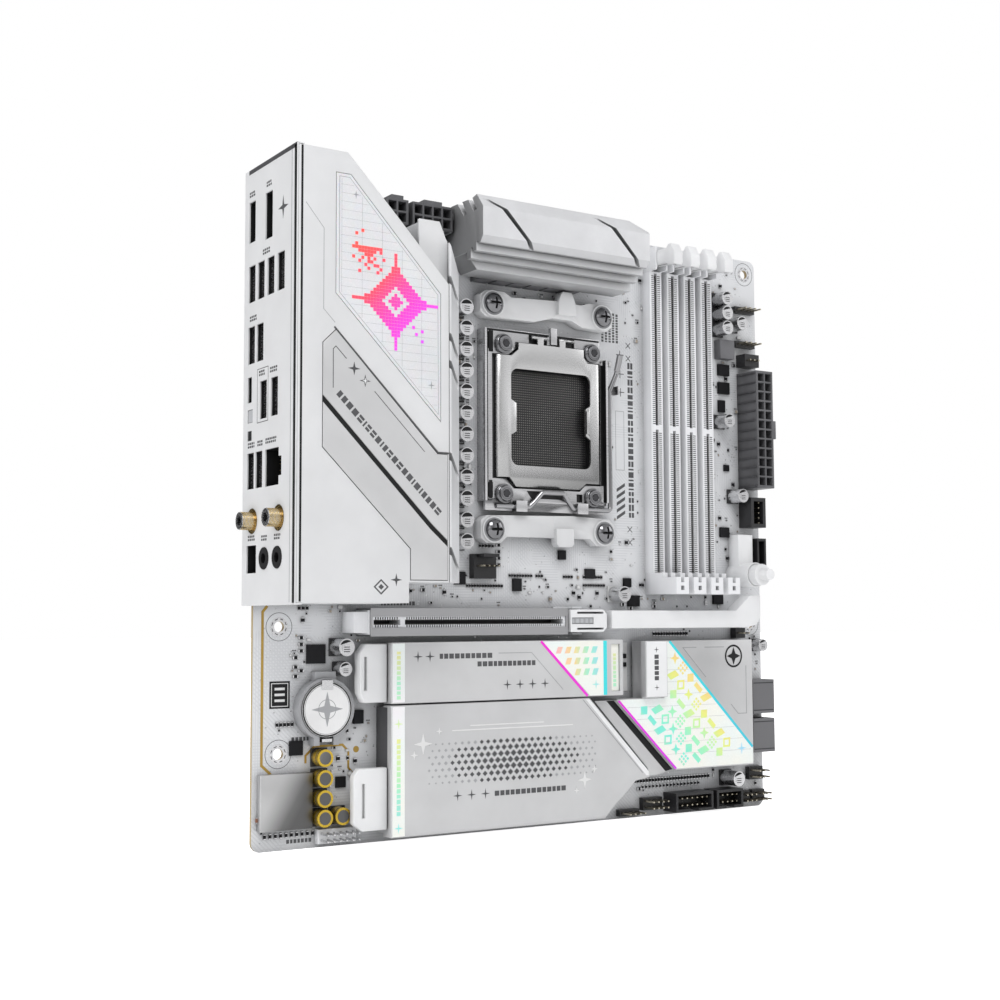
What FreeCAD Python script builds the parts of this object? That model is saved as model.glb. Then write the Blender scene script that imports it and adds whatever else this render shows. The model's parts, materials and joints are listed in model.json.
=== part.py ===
import FreeCAD, Part
import math
import os
import Sketcher
from FreeCAD import Vector, Rotation, Placement

# Compact square computer mainboard, standing upright.
# Board coordinates: x runs from the rear connector edge, z from the bottom edge, and the
# height h is measured from the component face, negative below it. In the document the
# component face looks towards -y, and the origin is the centre of the rear middle standoff
# hole on the back face of the circuit board. Left means low x, lower means low z.
os.makedirs("parts", exist_ok=True)
doc = FreeCAD.newDocument("Mainboard")
sheet = doc.addObject("Spreadsheet::Sheet", "Dims")

SHARED = {
    "board_size": 243.84,
    "board_thick": 1.57,
    "board_corner": 3.5,
    "origin_x": 10.16,
    "origin_z": 80.01,
    "standoff_hole_r": 1.98,
    "slot_pitch": 9.4,            # between memory slots
    "pin_pitch": 4.2,             # between power connector cells
    "lever_wire_r": 1.0,
    "latch_pivot_height": 4.2,
    "latch_pivot_z": 236.2,
}
aliases = []
pieces = {}                       # label: object, one STEP file each


# ------------------------------------------------------------------ dimensions
# Wherever a helper takes a size or a place to bind, the alias of a shared dimension
# may stand for the number.
def number(value):
    return float(SHARED[value] if isinstance(value, str) else value)


def dim(alias, value):
    """Keeps a named driving dimension in the sheet; returns its expression."""
    if isinstance(value, str):
        return "Dims." + value
    if alias not in aliases:
        aliases.append(alias)
        cell = f"A{len(aliases)}"
        sheet.set(cell, repr(round(float(value), 4)))
        sheet.setAlias(cell, alias)
    return "Dims." + alias


for shared_alias, shared_value in SHARED.items():
    dim(shared_alias, shared_value)

BOARD_THICK = SHARED["board_thick"]
ORIGIN_X = SHARED["origin_x"]
ORIGIN_Z = SHARED["origin_z"]


def place(obj, x="0", height="0", z="0"):
    """Binds an object's base to a point given as expressions in board coordinates."""
    obj.setExpression("Placement.Base.x", f"{x} - Dims.origin_x")
    obj.setExpression("Placement.Base.y", f"-Dims.board_thick - {height}")
    obj.setExpression("Placement.Base.z", f"{z} - Dims.origin_z")


def keep(label, obj):
    obj.Label = label
    pieces[label] = obj


# ------------------------------------------------------------------ sketches
def bind(sk, kind, args, alias, value):
    index = sk.addConstraint(Sketcher.Constraint(kind, *args, number(value)))
    sk.setExpression(f"Constraints[{index}]", dim(alias, value))


def hold_point(sk, geometry, point, u, v, u_alias, v_alias):
    """Fixes a point by its distances from the sketch axes."""
    for kind, axis, value, alias in (("DistanceX", -2, u, u_alias), ("DistanceY", -1, v, v_alias)):
        if abs(number(value)) < 1e-9:
            sk.addConstraint(Sketcher.Constraint("PointOnObject", geometry, point, axis))
        else:
            bind(sk, kind, (-1, 1, geometry, point), alias, value)


def draw_poly(sk, points, name):
    """A closed outline, every corner held by a named dimension."""
    count = len(points)
    first = sk.GeometryCount
    corners = [Vector(number(u), number(v), 0) for u, v in points]
    for i in range(count):
        sk.addGeometry(Part.LineSegment(corners[i], corners[(i + 1) % count]), False)
    for i in range(count):
        following = first + (i + 1) % count
        sk.addConstraint(Sketcher.Constraint("Coincident", first + i, 2, following, 1))
    for i, (u, v) in enumerate(points):
        hold_point(sk, first + i, 1, u, v, f"{name}_u{i}", f"{name}_v{i}")


def draw_circle(sk, u, v, radius, name):
    circle = Part.Circle(Vector(u, v, 0), Vector(0, 0, 1), number(radius))
    index = sk.addGeometry(circle, False)
    bind(sk, "Radius", (index,), name + "_radius", radius)
    hold_point(sk, index, 3, u, v, name + "_cu", name + "_cv")


def sketch(body, name, role="XZ_Plane", level=0.0):
    """A sketch on one of the body's planes, lifted along the plane's normal."""
    sk = body.newObject("Sketcher::SketchObject", name)
    support = [o for o in body.Origin.OriginFeatures if o.Role == role][0]
    sk.AttachmentSupport = [(support, "")]
    sk.MapMode = "FlatFace"
    if level:
        sk.AttachmentOffset = Placement(Vector(0, 0, level), Rotation())
        sk.setExpression("AttachmentOffset.Base.z", dim(name + "_level", level))
    return sk


def rect(x0, x1, z0, z1):
    return [(x0, z0), (x1, z0), (x1, z1), (x0, z1)]


# ------------------------------------------------------------------ bodies
def pad(body, name, sk, length, alias):
    feature = body.newObject("PartDesign::Pad", name + "_pad")
    feature.Profile = sk
    feature.Length = length
    feature.setExpression("Length", dim(alias, length))


def prism(name, points, h0, h1, circles=()):
    """A plate of the given (x, z) outline, from height h0 to h1; circles are (x, z, radius)."""
    body = doc.addObject("PartDesign::Body", name)
    sk = sketch(body, name + "_outline")
    draw_poly(sk, points, name)
    for i, (x, z, radius) in enumerate(circles):
        draw_circle(sk, x, z, radius, f"{name}_hole{i}")
    pad(body, name, sk, h1 - h0, name + "_height")
    sk.Visibility = False
    place(body, height=dim(name + "_base_height", h0))
    return body


def pocket(body, name, top, depth, polys=(), circles=()):
    """Cuts outlines down by 'depth' from the level 'top', measured from the body's base."""
    sk = sketch(body, name, level=top)
    for i, points in enumerate(polys):
        draw_poly(sk, points, f"{name}_p{i}")
    for i, (x, z, radius) in enumerate(circles):
        draw_circle(sk, x, z, radius, f"{name}_c{i}")
    feature = body.newObject("PartDesign::Pocket", name + "_cut")
    feature.Profile = sk
    feature.Length = depth
    feature.setExpression("Length", dim(name + "_depth", depth))
    body.Tip = feature
    return feature


def extrude_x(name, profile, x0, x1):
    """A bar with the given (height, z) profile, running from x0 to x1."""
    body = doc.addObject("PartDesign::Body", name)
    sk = sketch(body, name + "_profile", "YZ_Plane")
    draw_poly(sk, [(-height, z) for height, z in profile], name)
    pad(body, name, sk, x1 - x0, name + "_length")
    place(body, x=dim(name + "_start", x0))
    return body


def extrude_z(name, profile, z0, z1):
    """A bar with the given (x, height) profile, running from z0 to z1."""
    body = doc.addObject("PartDesign::Body", name)
    sk = sketch(body, name + "_profile", "XY_Plane")
    draw_poly(sk, [(x, -height) for x, height in profile], name)
    pad(body, name, sk, z1 - z0, name + "_length")
    place(body, z=dim(name + "_start", z0))
    return body


# ------------------------------------------------------------------ simple solids
def box(name, x0, x1, h0, h1, z0, z1):
    obj = doc.addObject("Part::Box", name)
    obj.setExpression("Length", dim(name + "_lx", x1 - x0))
    obj.setExpression("Width", dim(name + "_lh", h1 - h0))
    obj.setExpression("Height", dim(name + "_lz", z1 - z0))
    place(obj, dim(name + "_x", x0), dim(name + "_top", h1), dim(name + "_z", z0))
    return obj


def boxes(rows):
    """Boxes from rows of name, x0, x1, h0, h1, z0, z1."""
    return [box(*row) for row in rows]


def cylinder(name, radius, length, axis=None):
    """A cylinder along z, or turned by 90 degrees about the given axis."""
    obj = doc.addObject("Part::Cylinder", name)
    obj.setExpression("Radius", dim(name + "_r", radius))
    obj.setExpression("Height", dim(name + "_len", length))
    if axis:
        obj.Placement = Placement(Vector(0, 0, 0), Rotation(axis, 90))
    return obj


def post(name, x, z, radius, h0, h1):
    """A cylinder square to the board, from height h0 to h1."""
    obj = cylinder(name, radius, h1 - h0, Vector(1, 0, 0))
    place(obj, dim(name + "_x", x), dim(name + "_from", h0), dim(name + "_z", z))
    return obj


def posts(name, centres, radius, h0, h1):
    return [post(f"{name}{i}", x, z, radius, h0, h1) for i, (x, z) in enumerate(centres)]


def rod_x(name, height, z, radius, x0, x1):
    obj = cylinder(name, radius, x1 - x0, Vector(0, 1, 0))
    place(obj, dim(name + "_from", x0), dim(name + "_level", height), dim(name + "_z", z))
    return obj


def rods_x(name, centres, radius, x0, x1):
    """Rods along x at (height, z) centres."""
    return [rod_x(f"{name}{i}", height, z, radius, x0, x1)
            for i, (height, z) in enumerate(centres)]


def rod_z(name, x, height, radius, z0, z1):
    obj = cylinder(name, radius, z1 - z0)
    place(obj, dim(name + "_x", x), dim(name + "_level", height), dim(name + "_from", z0))
    return obj


# ------------------------------------------------------------------ combinations
def fuse(name, objs):
    """Joins the objects; a single one is returned as it is."""
    if len(objs) == 1:
        return objs[0]
    obj = doc.addObject("Part::MultiFuse", name)
    obj.Shapes = objs
    obj.Refine = True
    return obj


def group(name, objs):
    obj = doc.addObject("Part::Compound", name)
    obj.Links = objs
    return obj


def keep_group(label, objs):
    keep(label, group(label + "_group", objs))


def cut(name, base, tools):
    obj = doc.addObject("Part::Cut", name)
    obj.Base = base
    obj.Tool = tools[0] if len(tools) == 1 else group(name + "_tools", tools)
    return obj


def common(name, base, tool):
    obj = doc.addObject("Part::Common", name)
    obj.Base = base
    obj.Tool = tool
    return obj


def cross_recess(name, i, x, z, reach, half_width, h0, h1):
    """The two crossed slots of a screw drive."""
    return [
        box(f"{name}_a{i}", x - reach, x + reach, h0, h1, z - half_width, z + half_width),
        box(f"{name}_b{i}", x - half_width, x + half_width, h0, h1, z - reach, z + reach)]


# ------------------------------------------------------------------ circuit board
# hole and screw centres (x, z)
STANDOFFS = [
    (33.02, 237.49), (165.10, 237.49), (237.49, 237.49), (ORIGIN_X, ORIGIN_Z),
    (237.49, ORIGIN_Z), (ORIGIN_X, 34.29), (165.10, 34.29), (237.49, 34.29)]
COOLER = [(98.78, 207.63), (152.78, 207.63), (98.78, 117.63), (152.78, 117.63)]
TORX = [(104.0, 192.0), (147.5, 192.0), (104.0, 132.0), (147.5, 132.0)]
LEFT_SINK_SCREWS = [(54.0, 108.0), (54.0, 160.0), (54.0, 214.0)]
TOP_SINK_SCREWS = [(88.0, 238.5), (146.0, 238.5)]
CHIPSET_SCREWS = [(174.0, 66.0), (222.0, 66.0), (222.0, 27.0)]
SINK_SCREWS = LEFT_SINK_SCREWS + TOP_SINK_SCREWS + CHIPSET_SCREWS

pcb = prism("pcb", rect(0, "board_size", 0, "board_size"), -BOARD_THICK, 0.0)
doc.recompute()                   # the fillet picks its edges from the padded shape
pcb_pad = pcb.Tip
corner_edges = []
for edge_number, edge in enumerate(pcb_pad.Shape.Edges, 1):
    bounds = edge.BoundBox
    if (abs(bounds.YLength - BOARD_THICK) < 1e-3
            and bounds.XLength < 1e-6 and bounds.ZLength < 1e-6):
        corner_edges.append(f"Edge{edge_number}")
rounding = pcb.newObject("PartDesign::Fillet", "pcb_corners")
rounding.Base = (pcb_pad, corner_edges)
rounding.Radius = SHARED["board_corner"]
rounding.setExpression("Radius", "Dims.board_corner")
pcb.Tip = rounding
for name, centres, radius in (
        ("pcb_standoffs", STANDOFFS, "standoff_hole_r"), ("pcb_cooler_holes", COOLER, 2.25),
        ("pcb_socket_holes", TORX, 1.9), ("pcb_heatsink_holes", SINK_SCREWS, 1.5)):
    pocket(pcb, name, BOARD_THICK, BOARD_THICK, circles=[(x, z, radius) for x, z in centres])
keep("pcb", pcb)

# ------------------------------------------------------------------ rear connector shield
SHIELD_OUT, SHIELD_IN = -3.1, -2.6          # x of the two faces of the plate
SHIELD_SHEET = 0.5
SHIELD_H0, SHIELD_H1 = -3.2, 41.2
SHIELD_Z0, SHIELD_Z1 = 87.6, 246.3
FLANGE_X = (SHIELD_IN - 0.1, -0.4)
CUT_X = (SHIELD_OUT - 1, SHIELD_IN + 0.05)
PORT_GAP = 0.15                             # shield opening around a port
PORTS = {  # h0, h1, z0, z1
    "video_a": (0.9, 6.1, 219.2, 234.0), "video_b": (15.2, 21.0, 217.6, 234.2),
    "usb_a1": (0.9, 6.4, 197.1, 210.3), "usb_a2": (8.9, 14.4, 197.1, 210.3),
    "usb_a3": (17.3, 22.8, 197.1, 210.3), "usb_a4": (25.9, 31.4, 197.1, 210.3),
    "usb_b1": (0.9, 6.4, 174.6, 187.9), "usb_b2": (8.4, 13.9, 174.6, 187.9),
    "usb_small": (0.8, 4.0, 160.6, 169.6),
    "usb_c1": (11.6, 17.1, 153.6, 166.9), "usb_c2": (21.0, 26.5, 153.6, 166.9),
    "usb_d1": (0.9, 6.4, 129.3, 142.0), "usb_d2": (8.2, 13.7, 129.3, 142.0),
    "network": (16.6, 27.6, 129.2, 142.0), "optical": (1.0, 9.0, 99.2, 108.8),
}
JACKS = [(16.0, 104.0), (27.0, 104.0)]      # height, z
AERIALS = [(5.3, 117.6), (27.8, 117.6)]     # height, z

shield = fuse("shield_folded", boxes([
    ("shield_plate", SHIELD_OUT, SHIELD_IN, SHIELD_H0, SHIELD_H1, SHIELD_Z0, SHIELD_Z1),
    ("shield_lower_flange", *FLANGE_X, SHIELD_H0, SHIELD_H1,
     SHIELD_Z0, SHIELD_Z0 + SHIELD_SHEET),
    ("shield_upper_flange", *FLANGE_X, SHIELD_H0, SHIELD_H1,
     SHIELD_Z1 - SHIELD_SHEET, SHIELD_Z1),
    ("shield_back_flange", *FLANGE_X, SHIELD_H0, SHIELD_H0 + SHIELD_SHEET,
     SHIELD_Z0, SHIELD_Z1)]))
openings = [box("cutout_" + port, *CUT_X, h0 - PORT_GAP, h1 + PORT_GAP,
                z0 - PORT_GAP, z1 + PORT_GAP)
            for port, (h0, h1, z0, z1) in PORTS.items()]
openings += boxes([
    ("cutout_network_key", *CUT_X, 27.7, 30.0, 132.2, 139.0),
    ("cutout_flash", *CUT_X, 0.8, 5.2, 153.1, 157.9),
    ("cutout_clear", *CUT_X, 0.8, 4.4, 146.6, 150.2)])
openings += rods_x("cutout_jack", JACKS, 3.95, *CUT_X)
openings += rods_x("cutout_antenna", AERIALS, 4.6, *CUT_X)
keep("io_shield", cut("io_shield_body", shield, openings))

# ------------------------------------------------------------------ rear connector housings
BLOCK_X = SHIELD_IN + 0.1                   # rear face of the housings
STACKS = [
    # solid, base name, blocks (depth x, h0, h1, z0, z1), ports, cavity end x
    ("video_ports", "video_stack", [(14.0, 0, 22.4, 216.2, 235.4)], ["video_a", "video_b"], 11.0),
    ("usb_quad_ports", "usb_quad_stack", [(15.0, 0, 32.8, 195.8, 211.6)],
     ["usb_a1", "usb_a2", "usb_a3", "usb_a4"], 11.0),
    ("usb_pair_ports", "usb_pair_stack", [(15.0, 0, 15.3, 173.3, 189.2)],
     ["usb_b1", "usb_b2"], 11.0),
    ("usb_mixed_ports", "usb_mixed_stack",
     [(15.0, 0, 28.0, 159.2, 171.0), (15.0, 10.3, 28.0, 152.3, 159.3)],
     ["usb_small", "usb_c1", "usb_c2"], 11.0),
    ("network_ports", "network_stack", [(17.0, 0, 31.0, 127.9, 143.4)],
     ["usb_d1", "usb_d2", "network"], 11.0),
    ("optical_port", "optical_stack", [(11.0, 0, 10.2, 98.2, 109.8)], ["optical"], 6.0),
]
housings = []
for solid_name, stack, blocks, ports, cavity_end in STACKS:
    block = fuse(stack + "_blocks", [box(f"{stack}_block{i}", BLOCK_X, *row)
                                     for i, row in enumerate(blocks)])
    cavities = [box("cavity_" + port, SHIELD_IN - 1, cavity_end, *PORTS[port]) for port in ports]
    if "network" in ports:
        cavities.append(box("cavity_network_key", SHIELD_IN - 1, cavity_end,
                            27.5, 30.0, 132.2, 139.0))
    housings.append(cut(solid_name, block, cavities))
jack_body = fuse("jack_body", [box("jack_block", BLOCK_X, 11.0, 10.4, 33.0, 97.8, 110.2)]
                 + rods_x("jack_ring", JACKS, 3.85, SHIELD_OUT - 0.3, 0.0))
housings.append(cut("jack_ports", jack_body,
                    rods_x("jack_bore", JACKS, 1.85, SHIELD_OUT - 1, 9.0)))
keep_group("rear_port_housings", housings)

# aerial sockets: flanged barrels on a small carrier plate
barrels = rods_x("aerial_barrel", AERIALS, 3.1, -8.0, -1.0)
flanges = rods_x("aerial_flange", AERIALS, 4.2, -2.4, -1.0)
aerials = [fuse(f"aerial_solid{i}", list(pair)) for i, pair in enumerate(zip(barrels, flanges))]
aerials.append(box("aerial_plate", -1.0, 0.2, 0.0, 33.0, 112.5, 122.7))
keep("rear_antenna_jacks", cut("aerial_sockets", fuse("aerial_body", aerials),
                               rods_x("aerial_bore", AERIALS, 1.6, -9.5, -3.4)))

# two push buttons, each with a wider foot: name, stem height top, stem z0, z1
BUTTONS = [("flash", 5.0, 153.3, 157.7), ("clear", 4.2, 146.8, 150.0)]
FOOT_RIM = 0.6
for name, top, z0, z1 in BUTTONS:
    keep("rear_button_" + name, fuse(name + "_cap", boxes([
        (name + "_stem", -2.9, -0.6, 1.0, top, z0, z1),
        (name + "_foot", -1.9, -0.6, 1.0 - FOOT_RIM, top + FOOT_RIM,
         z0 - FOOT_RIM, z1 + FOOT_RIM)])))

# ------------------------------------------------------------------ rear cover assembly
# outlines (x, z)
COVER = [
    (-2.5, 88.2), (41.0, 88.2), (41.0, 95.5), (57.4, 95.5), (57.4, 203.6), (36.3, 225.6),
    (16.4, 245.7), (-2.5, 245.7)]
COVER_HOLLOW = [
    (-4.0, 90.0), (39.0, 90.0), (39.0, 97.5), (60.0, 97.5), (60.0, 198.0), (34.9, 224.3),
    (15.6, 243.7), (-4.0, 243.7)]
WINDOW_SEAT = [(11.8, 195.2), (54.0, 153.0), (54.0, 199.6), (17.6, 238.0), (11.8, 238.0)]
LAMP_OPENING = [
    (14.2, 197.2), (51.6, 159.6), (51.6, 198.2), (17.0, 234.6), (14.2, 234.6)]
PLATE_SEAT = [
    (6.9, 141.3), (41.4, 107.2), (41.4, 96.2), (56.9, 96.2), (56.9, 141.6), (52.6, 141.6),
    (12.0, 182.6), (6.9, 177.6)]
COVER_FLANK = [
    (45.4, 94.0), (60.0, 94.0), (60.0, 230.0), (34.6, 230.0), (34.6, 226.0), (45.4, 214.6)]
SHOULDER = [
    (45.6, 214.84), (56.4, 203.6), (57.4, 203.6), (57.4, 219.6), (56.8, 220.4),
    (54.2, 226.6), (45.6, 226.6)]
LIGHT_WINDOW = [(12.0, 195.3), (53.8, 153.5), (53.8, 199.5), (17.5, 237.8), (12.0, 237.8)]
LIGHT_BOARD = [(12.5, 197.5), (43.5, 166.5), (43.5, 204.5), (17.2, 232.5), (12.5, 232.5)]
ACCENT_PLATE = [
    (7.1, 141.45), (41.6, 107.35), (41.6, 96.4), (56.7, 96.4), (56.7, 141.4), (52.5, 141.4),
    (12.0, 182.3), (7.1, 177.5)]
ACCENT_CHANNEL = [
    (6.0, 158.0), (6.0, 156.9), (7.1, 156.9), (49.5, 114.5), (56.7, 108.3), (58.0, 108.3),
    (58.0, 110.6), (56.7, 110.6), (50.2, 116.3), (7.1, 159.4), (6.0, 159.4)]
ACCENT_STRIP = [
    (7.15, 157.0), (49.55, 114.6), (56.65, 108.45), (56.65, 110.45), (50.15, 116.15),
    (7.15, 159.2)]
COVER_BASE, COVER_TOP = 2.2, 41.2
COVER_RISE = 39.0                           # from the base to the top face

cover = prism("io_cover_body", COVER, COVER_BASE, COVER_TOP)
# the flank is open where the left heatsink fills it
for name, top, depth, outline in (
        ("io_cover_hollow", 37.0, 37.0, COVER_HOLLOW),
        ("io_cover_window_seat", COVER_RISE, 1.2, WINDOW_SEAT),
        ("io_cover_lamp_opening", 37.8, 0.8, LAMP_OPENING),
        ("io_cover_plate_seat", COVER_RISE, 1.2, PLATE_SEAT),
        ("io_cover_flank", 36.6, 36.6, COVER_FLANK)):
    pocket(cover, name, top, depth, polys=[outline])
# a lower tier beside the processor power connectors belongs to the same moulding
shoulder = prism("cover_shoulder", SHOULDER, 38.8, 40.2)
keep("io_cover", fuse("io_cover_shell", [cover, shoulder]))
keep("light_window", prism("window_plate", LIGHT_WINDOW, 40.05, 41.35))
keep("light_board", prism("lamp_board", LIGHT_BOARD, 35.6, 37.2))
accent = prism("silver_plate", ACCENT_PLATE, 40.05, 41.3)
pocket(accent, "silver_plate_channel", 1.25, 0.8, polys=[ACCENT_CHANNEL])
keep("accent_plate", accent)
keep("accent_strip", prism("strip_inlay", ACCENT_STRIP, 40.5, 41.0))

# ------------------------------------------------------------------ left heatsink
LEFT_PROFILE = [  # x, height: the right flank carries cooling grooves
    (46.0, 2.0), (62.0, 2.0), (62.0, 9.0), (65.0, 12.0), (65.0, 15.0), (60.0, 15.0),
    (60.0, 17.0), (65.0, 17.0), (65.0, 21.0), (60.0, 21.0), (60.0, 23.0), (65.0, 23.0),
    (65.0, 27.0), (60.0, 27.0), (60.0, 29.0), (65.0, 29.0), (65.0, 35.6), (58.4, 41.2),
    (57.6, 41.2), (57.6, 38.6), (46.0, 38.6)]
LEFT_LIMIT = [  # x, z: trims the upper right corner
    (46.0, 95.0), (66.0, 95.0), (66.0, 208.0), (57.0, 220.0), (54.6, 225.6), (46.0, 225.6)]
FLANK_SLOT = [  # x, z offset from the slot
    (57.0, 1.0), (58.6, 0.0), (66.0, -8.4), (66.0, -5.4), (58.6, 3.0), (57.0, 3.6)]
FLANK_SLOT_Z = (203.5, 182.5, 172.5, 139.0, 105.0)
TAP_R = 1.25
TAP_SPAN = (1.0, 9.0)                       # heights of the blind screw holes

left_bar = extrude_z("vrm_left_bar", LEFT_PROFILE, 95.5, 229.0)
left_limit = prism("vrm_left_limit", LEFT_LIMIT, 1.0, 42.0)
left_trim = common("vrm_left_trim", left_bar, left_limit)
flank_slots = [prism(f"flank_slot{i}", [(x, z + dz) for x, dz in FLANK_SLOT], 35.6, 42.0)
               for i, z in enumerate(FLANK_SLOT_Z)]
keep("vrm_heatsink_left", cut("vrm_left_block", left_trim, flank_slots
                              + posts("vrm_left_tap", LEFT_SINK_SCREWS, TAP_R, *TAP_SPAN)))

# ------------------------------------------------------------------ top heatsink
TOP_PROFILE = [  # height, z: finned extrusion
    (2.0, 224.0), (8.0, 224.0), (8.0, 216.6), (20.0, 216.6), (20.0, 222.4), (21.6, 222.4),
    (21.6, 219.4), (24.4, 219.4), (24.4, 223.4), (25.8, 223.4), (25.8, 221.6), (28.4, 221.6),
    (28.4, 225.0), (29.6, 225.0), (29.6, 224.2), (31.2, 224.2), (33.2, 226.6), (33.2, 237.7),
    (28.8, 243.2), (25.6, 242.4), (28.6, 237.4), (26.4, 236.9), (22.6, 242.4), (18.2, 242.6),
    (21.4, 237.2), (19.2, 236.9), (14.6, 242.6), (9.8, 242.6), (12.4, 237.0), (10.2, 236.8),
    (6.4, 242.6), (2.0, 242.6)]
FACE_GROOVE = [  # x offset from the groove, z
    (22.0, 223.6), (24.0, 223.6), (10.0, 237.9), (1.2, 242.4), (0.4, 244.0), (-2.0, 244.0),
    (-1.2, 242.4), (8.0, 237.3)]
FACE_GROOVE_X = (78.1, 129.9)
FACE_CORNER = [(148.6, 244.0), (158.0, 237.9), (158.0, 244.0)]
FOOT_CORNER = [(76.0, 215.0), (84.0, 215.0), (77.8, 222.2), (76.0, 222.2)]

top_bar = extrude_x("vrm_top_bar", TOP_PROFILE, 77.2, 157.0)
top_cuts = [prism(f"face_groove{i}", [(start + dx, z) for dx, z in FACE_GROOVE], 30.2, 34.0)
            for i, start in enumerate(FACE_GROOVE_X)]
top_cuts.append(prism("face_corner", FACE_CORNER, 1.0, 34.0))
top_cuts.append(prism("foot_corner", FOOT_CORNER, 7.0, 20.5))
top_cuts += posts("vrm_top_tap", TOP_SINK_SCREWS, TAP_R, *TAP_SPAN)
keep("vrm_heatsink_top", cut("vrm_top_block", top_bar, top_cuts))

# ------------------------------------------------------------------ power stage and chips
PHASE_PITCH = 8.3
CAN_PITCH = 8.36
LEFT_PHASES, TOP_PHASES = 12, 6
STAGE_LONG, STAGE_SHORT, STAGE_RISE = 6.0, 5.0, 1.0
CHOKE_SIDE, CHOKE_RISE = 7.2, 7.0
CHIPS = [  # x0, x1, z0, z1, height
    (111.2, 115.2, 93.6, 98.6, 1.2), (133.6, 137.2, 106.6, 110.4, 1.0),
    (166.9, 170.8, 95.6, 99.4, 1.0), (169.0, 175.0, 87.6, 92.2, 1.2),
    (21.0, 28.5, 66.5, 73.5, 0.9), (40.0, 44.0, 44.0, 49.0, 1.5),
    (33.0, 37.0, 21.0, 25.0, 0.9), (220.8, 227.0, 190.0, 195.0, 1.3),
    (220.8, 227.0, 181.8, 187.0, 1.3), (220.8, 224.4, 173.6, 178.9, 1.1),
    (147.0, 152.0, 99.0, 103.0, 0.9), (84.0, 89.0, 96.0, 101.0, 0.9),
    (220.6, 225.6, 118.0, 122.4, 1.2), (216.0, 221.4, 88.6, 93.0, 1.2),
    (14.4, 19.6, 33.6, 38.8, 0.9)]


def column_boxes(name, x0, z0, width, length, rise):
    """One box per left phase, stepping up in z."""
    starts = [z0 + PHASE_PITCH * i for i in range(LEFT_PHASES)]
    return [box(f"{name}{i}", x0, x0 + width, 0.0, rise, z, z + length)
            for i, z in enumerate(starts)]


def row_boxes(name, x0, z0, width, length, rise):
    """One box per top phase, stepping along x."""
    starts = [x0 + PHASE_PITCH * i for i in range(TOP_PHASES)]
    return [box(f"{name}{i}", x, x + width, 0.0, rise, z0, z0 + length)
            for i, x in enumerate(starts)]


chips = column_boxes("stage_left", 56.6, 112.0, STAGE_SHORT, STAGE_LONG, STAGE_RISE)
chips += row_boxes("stage_top", 92.5, 226.0, STAGE_LONG, STAGE_SHORT, STAGE_RISE)
chips.append(box("hub_package", 182.0, 207.0, 0.0, 2.0, 36.0, 61.0))
chips += [box(f"chip{i}", x0, x1, 0.0, rise, z0, z1)
          for i, (x0, x1, z0, z1, rise) in enumerate(CHIPS)]
chips += boxes([
    ("switch_flash", 0.5, 4.8, 0.0, 5.6, 152.7, 158.3),
    ("switch_clear", 0.5, 4.8, 0.0, 4.8, 146.2, 150.6)])
keep_group("surface_chips", chips)
keep_group("thermal_pads", boxes([
    ("pad_left", 56.6, 61.6, 1.0, 2.0, 111.5, 209.5),
    ("pad_top", 92.0, 140.5, 1.0, 2.0, 226.0, 231.0),
    ("pad_hub", 183.0, 206.0, 2.0, 2.6, 37.0, 60.0)]))
chokes = column_boxes("choke_left", 68.0, 111.6, CHOKE_SIDE, CHOKE_SIDE, CHOKE_RISE)
chokes += row_boxes("choke_top", 92.0, 216.8, CHOKE_SIDE, 7.0, CHOKE_RISE)
chokes.append(box("choke_memory", 219.4, 227.6, 0.0, 4.2, 197.2, 205.6))
keep_group("power_chokes", chokes)
can_centres = [(85.4, 112.6 + CAN_PITCH * i) for i in range(LEFT_PHASES)]
keep_group("vrm_capacitors", posts("vrm_can", can_centres, 3.1, 0.0, 8.2))

# ------------------------------------------------------------------ processor socket
SOCKET = [  # x, z
    (99.6, 137.6), (112.4, 137.6), (112.4, 129.8), (135.6, 129.8), (135.6, 137.6),
    (151.4, 137.6), (151.4, 186.4), (142.0, 186.4), (142.0, 192.2), (139.6, 192.2),
    (139.6, 197.4), (115.6, 197.4), (115.6, 192.2), (109.4, 192.2), (109.4, 186.4),
    (99.6, 186.4)]
socket = prism("socket_base", SOCKET, 0.0, 4.2)
pocket(socket, "socket_window", 4.2, 2.4, polys=[rect(106.4, 146.6, 143.0, 182.6)])
keep("socket_housing", socket)
keep("socket_contact_field",
     prism("contact_plate", rect(106.6, 146.4, 143.2, 182.4), 1.8, 2.8))

# frame around the socket
FRAME = [(95.0, 128.9), (154.6, 128.9), (154.6, 190.2), (151.9, 190.2), (151.9, 198.0),
         (95.0, 198.0)]
FRAME_OPENING = [
    (98.8, 138.0), (105.2, 138.0), (108.8, 134.3), (141.2, 134.3), (144.0, 137.0),
    (152.0, 137.0), (152.0, 188.0), (143.4, 188.0), (143.4, 193.4), (139.0, 193.4),
    (139.0, 197.0), (129.8, 197.0), (129.8, 193.4), (125.4, 193.4), (125.4, 197.0),
    (116.4, 197.0), (116.4, 193.4), (109.9, 193.4), (109.9, 190.6), (106.6, 187.9),
    (98.8, 187.9)]
LEVER_OPENING = [(117.2, 130.6), (132.6, 130.6), (134.2, 133.6), (115.0, 133.6)]
FRAME_SHEET = 1.0
FRAME_RELIEFS = [
    rect(96.8, 99.0, 189.6, 196.6), rect(96.8, 99.0, 130.4, 136.4),
    rect(139.6, 142.6, 129.9, 133.2)]
frame = prism("frame_ring", FRAME, 4.3, 4.3 + FRAME_SHEET)
for name, outlines in (("frame_opening", [FRAME_OPENING]),
                       ("frame_lever_opening", [LEVER_OPENING]),
                       ("frame_relief", FRAME_RELIEFS)):
    pocket(frame, name, FRAME_SHEET, FRAME_SHEET, polys=outlines)
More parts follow.
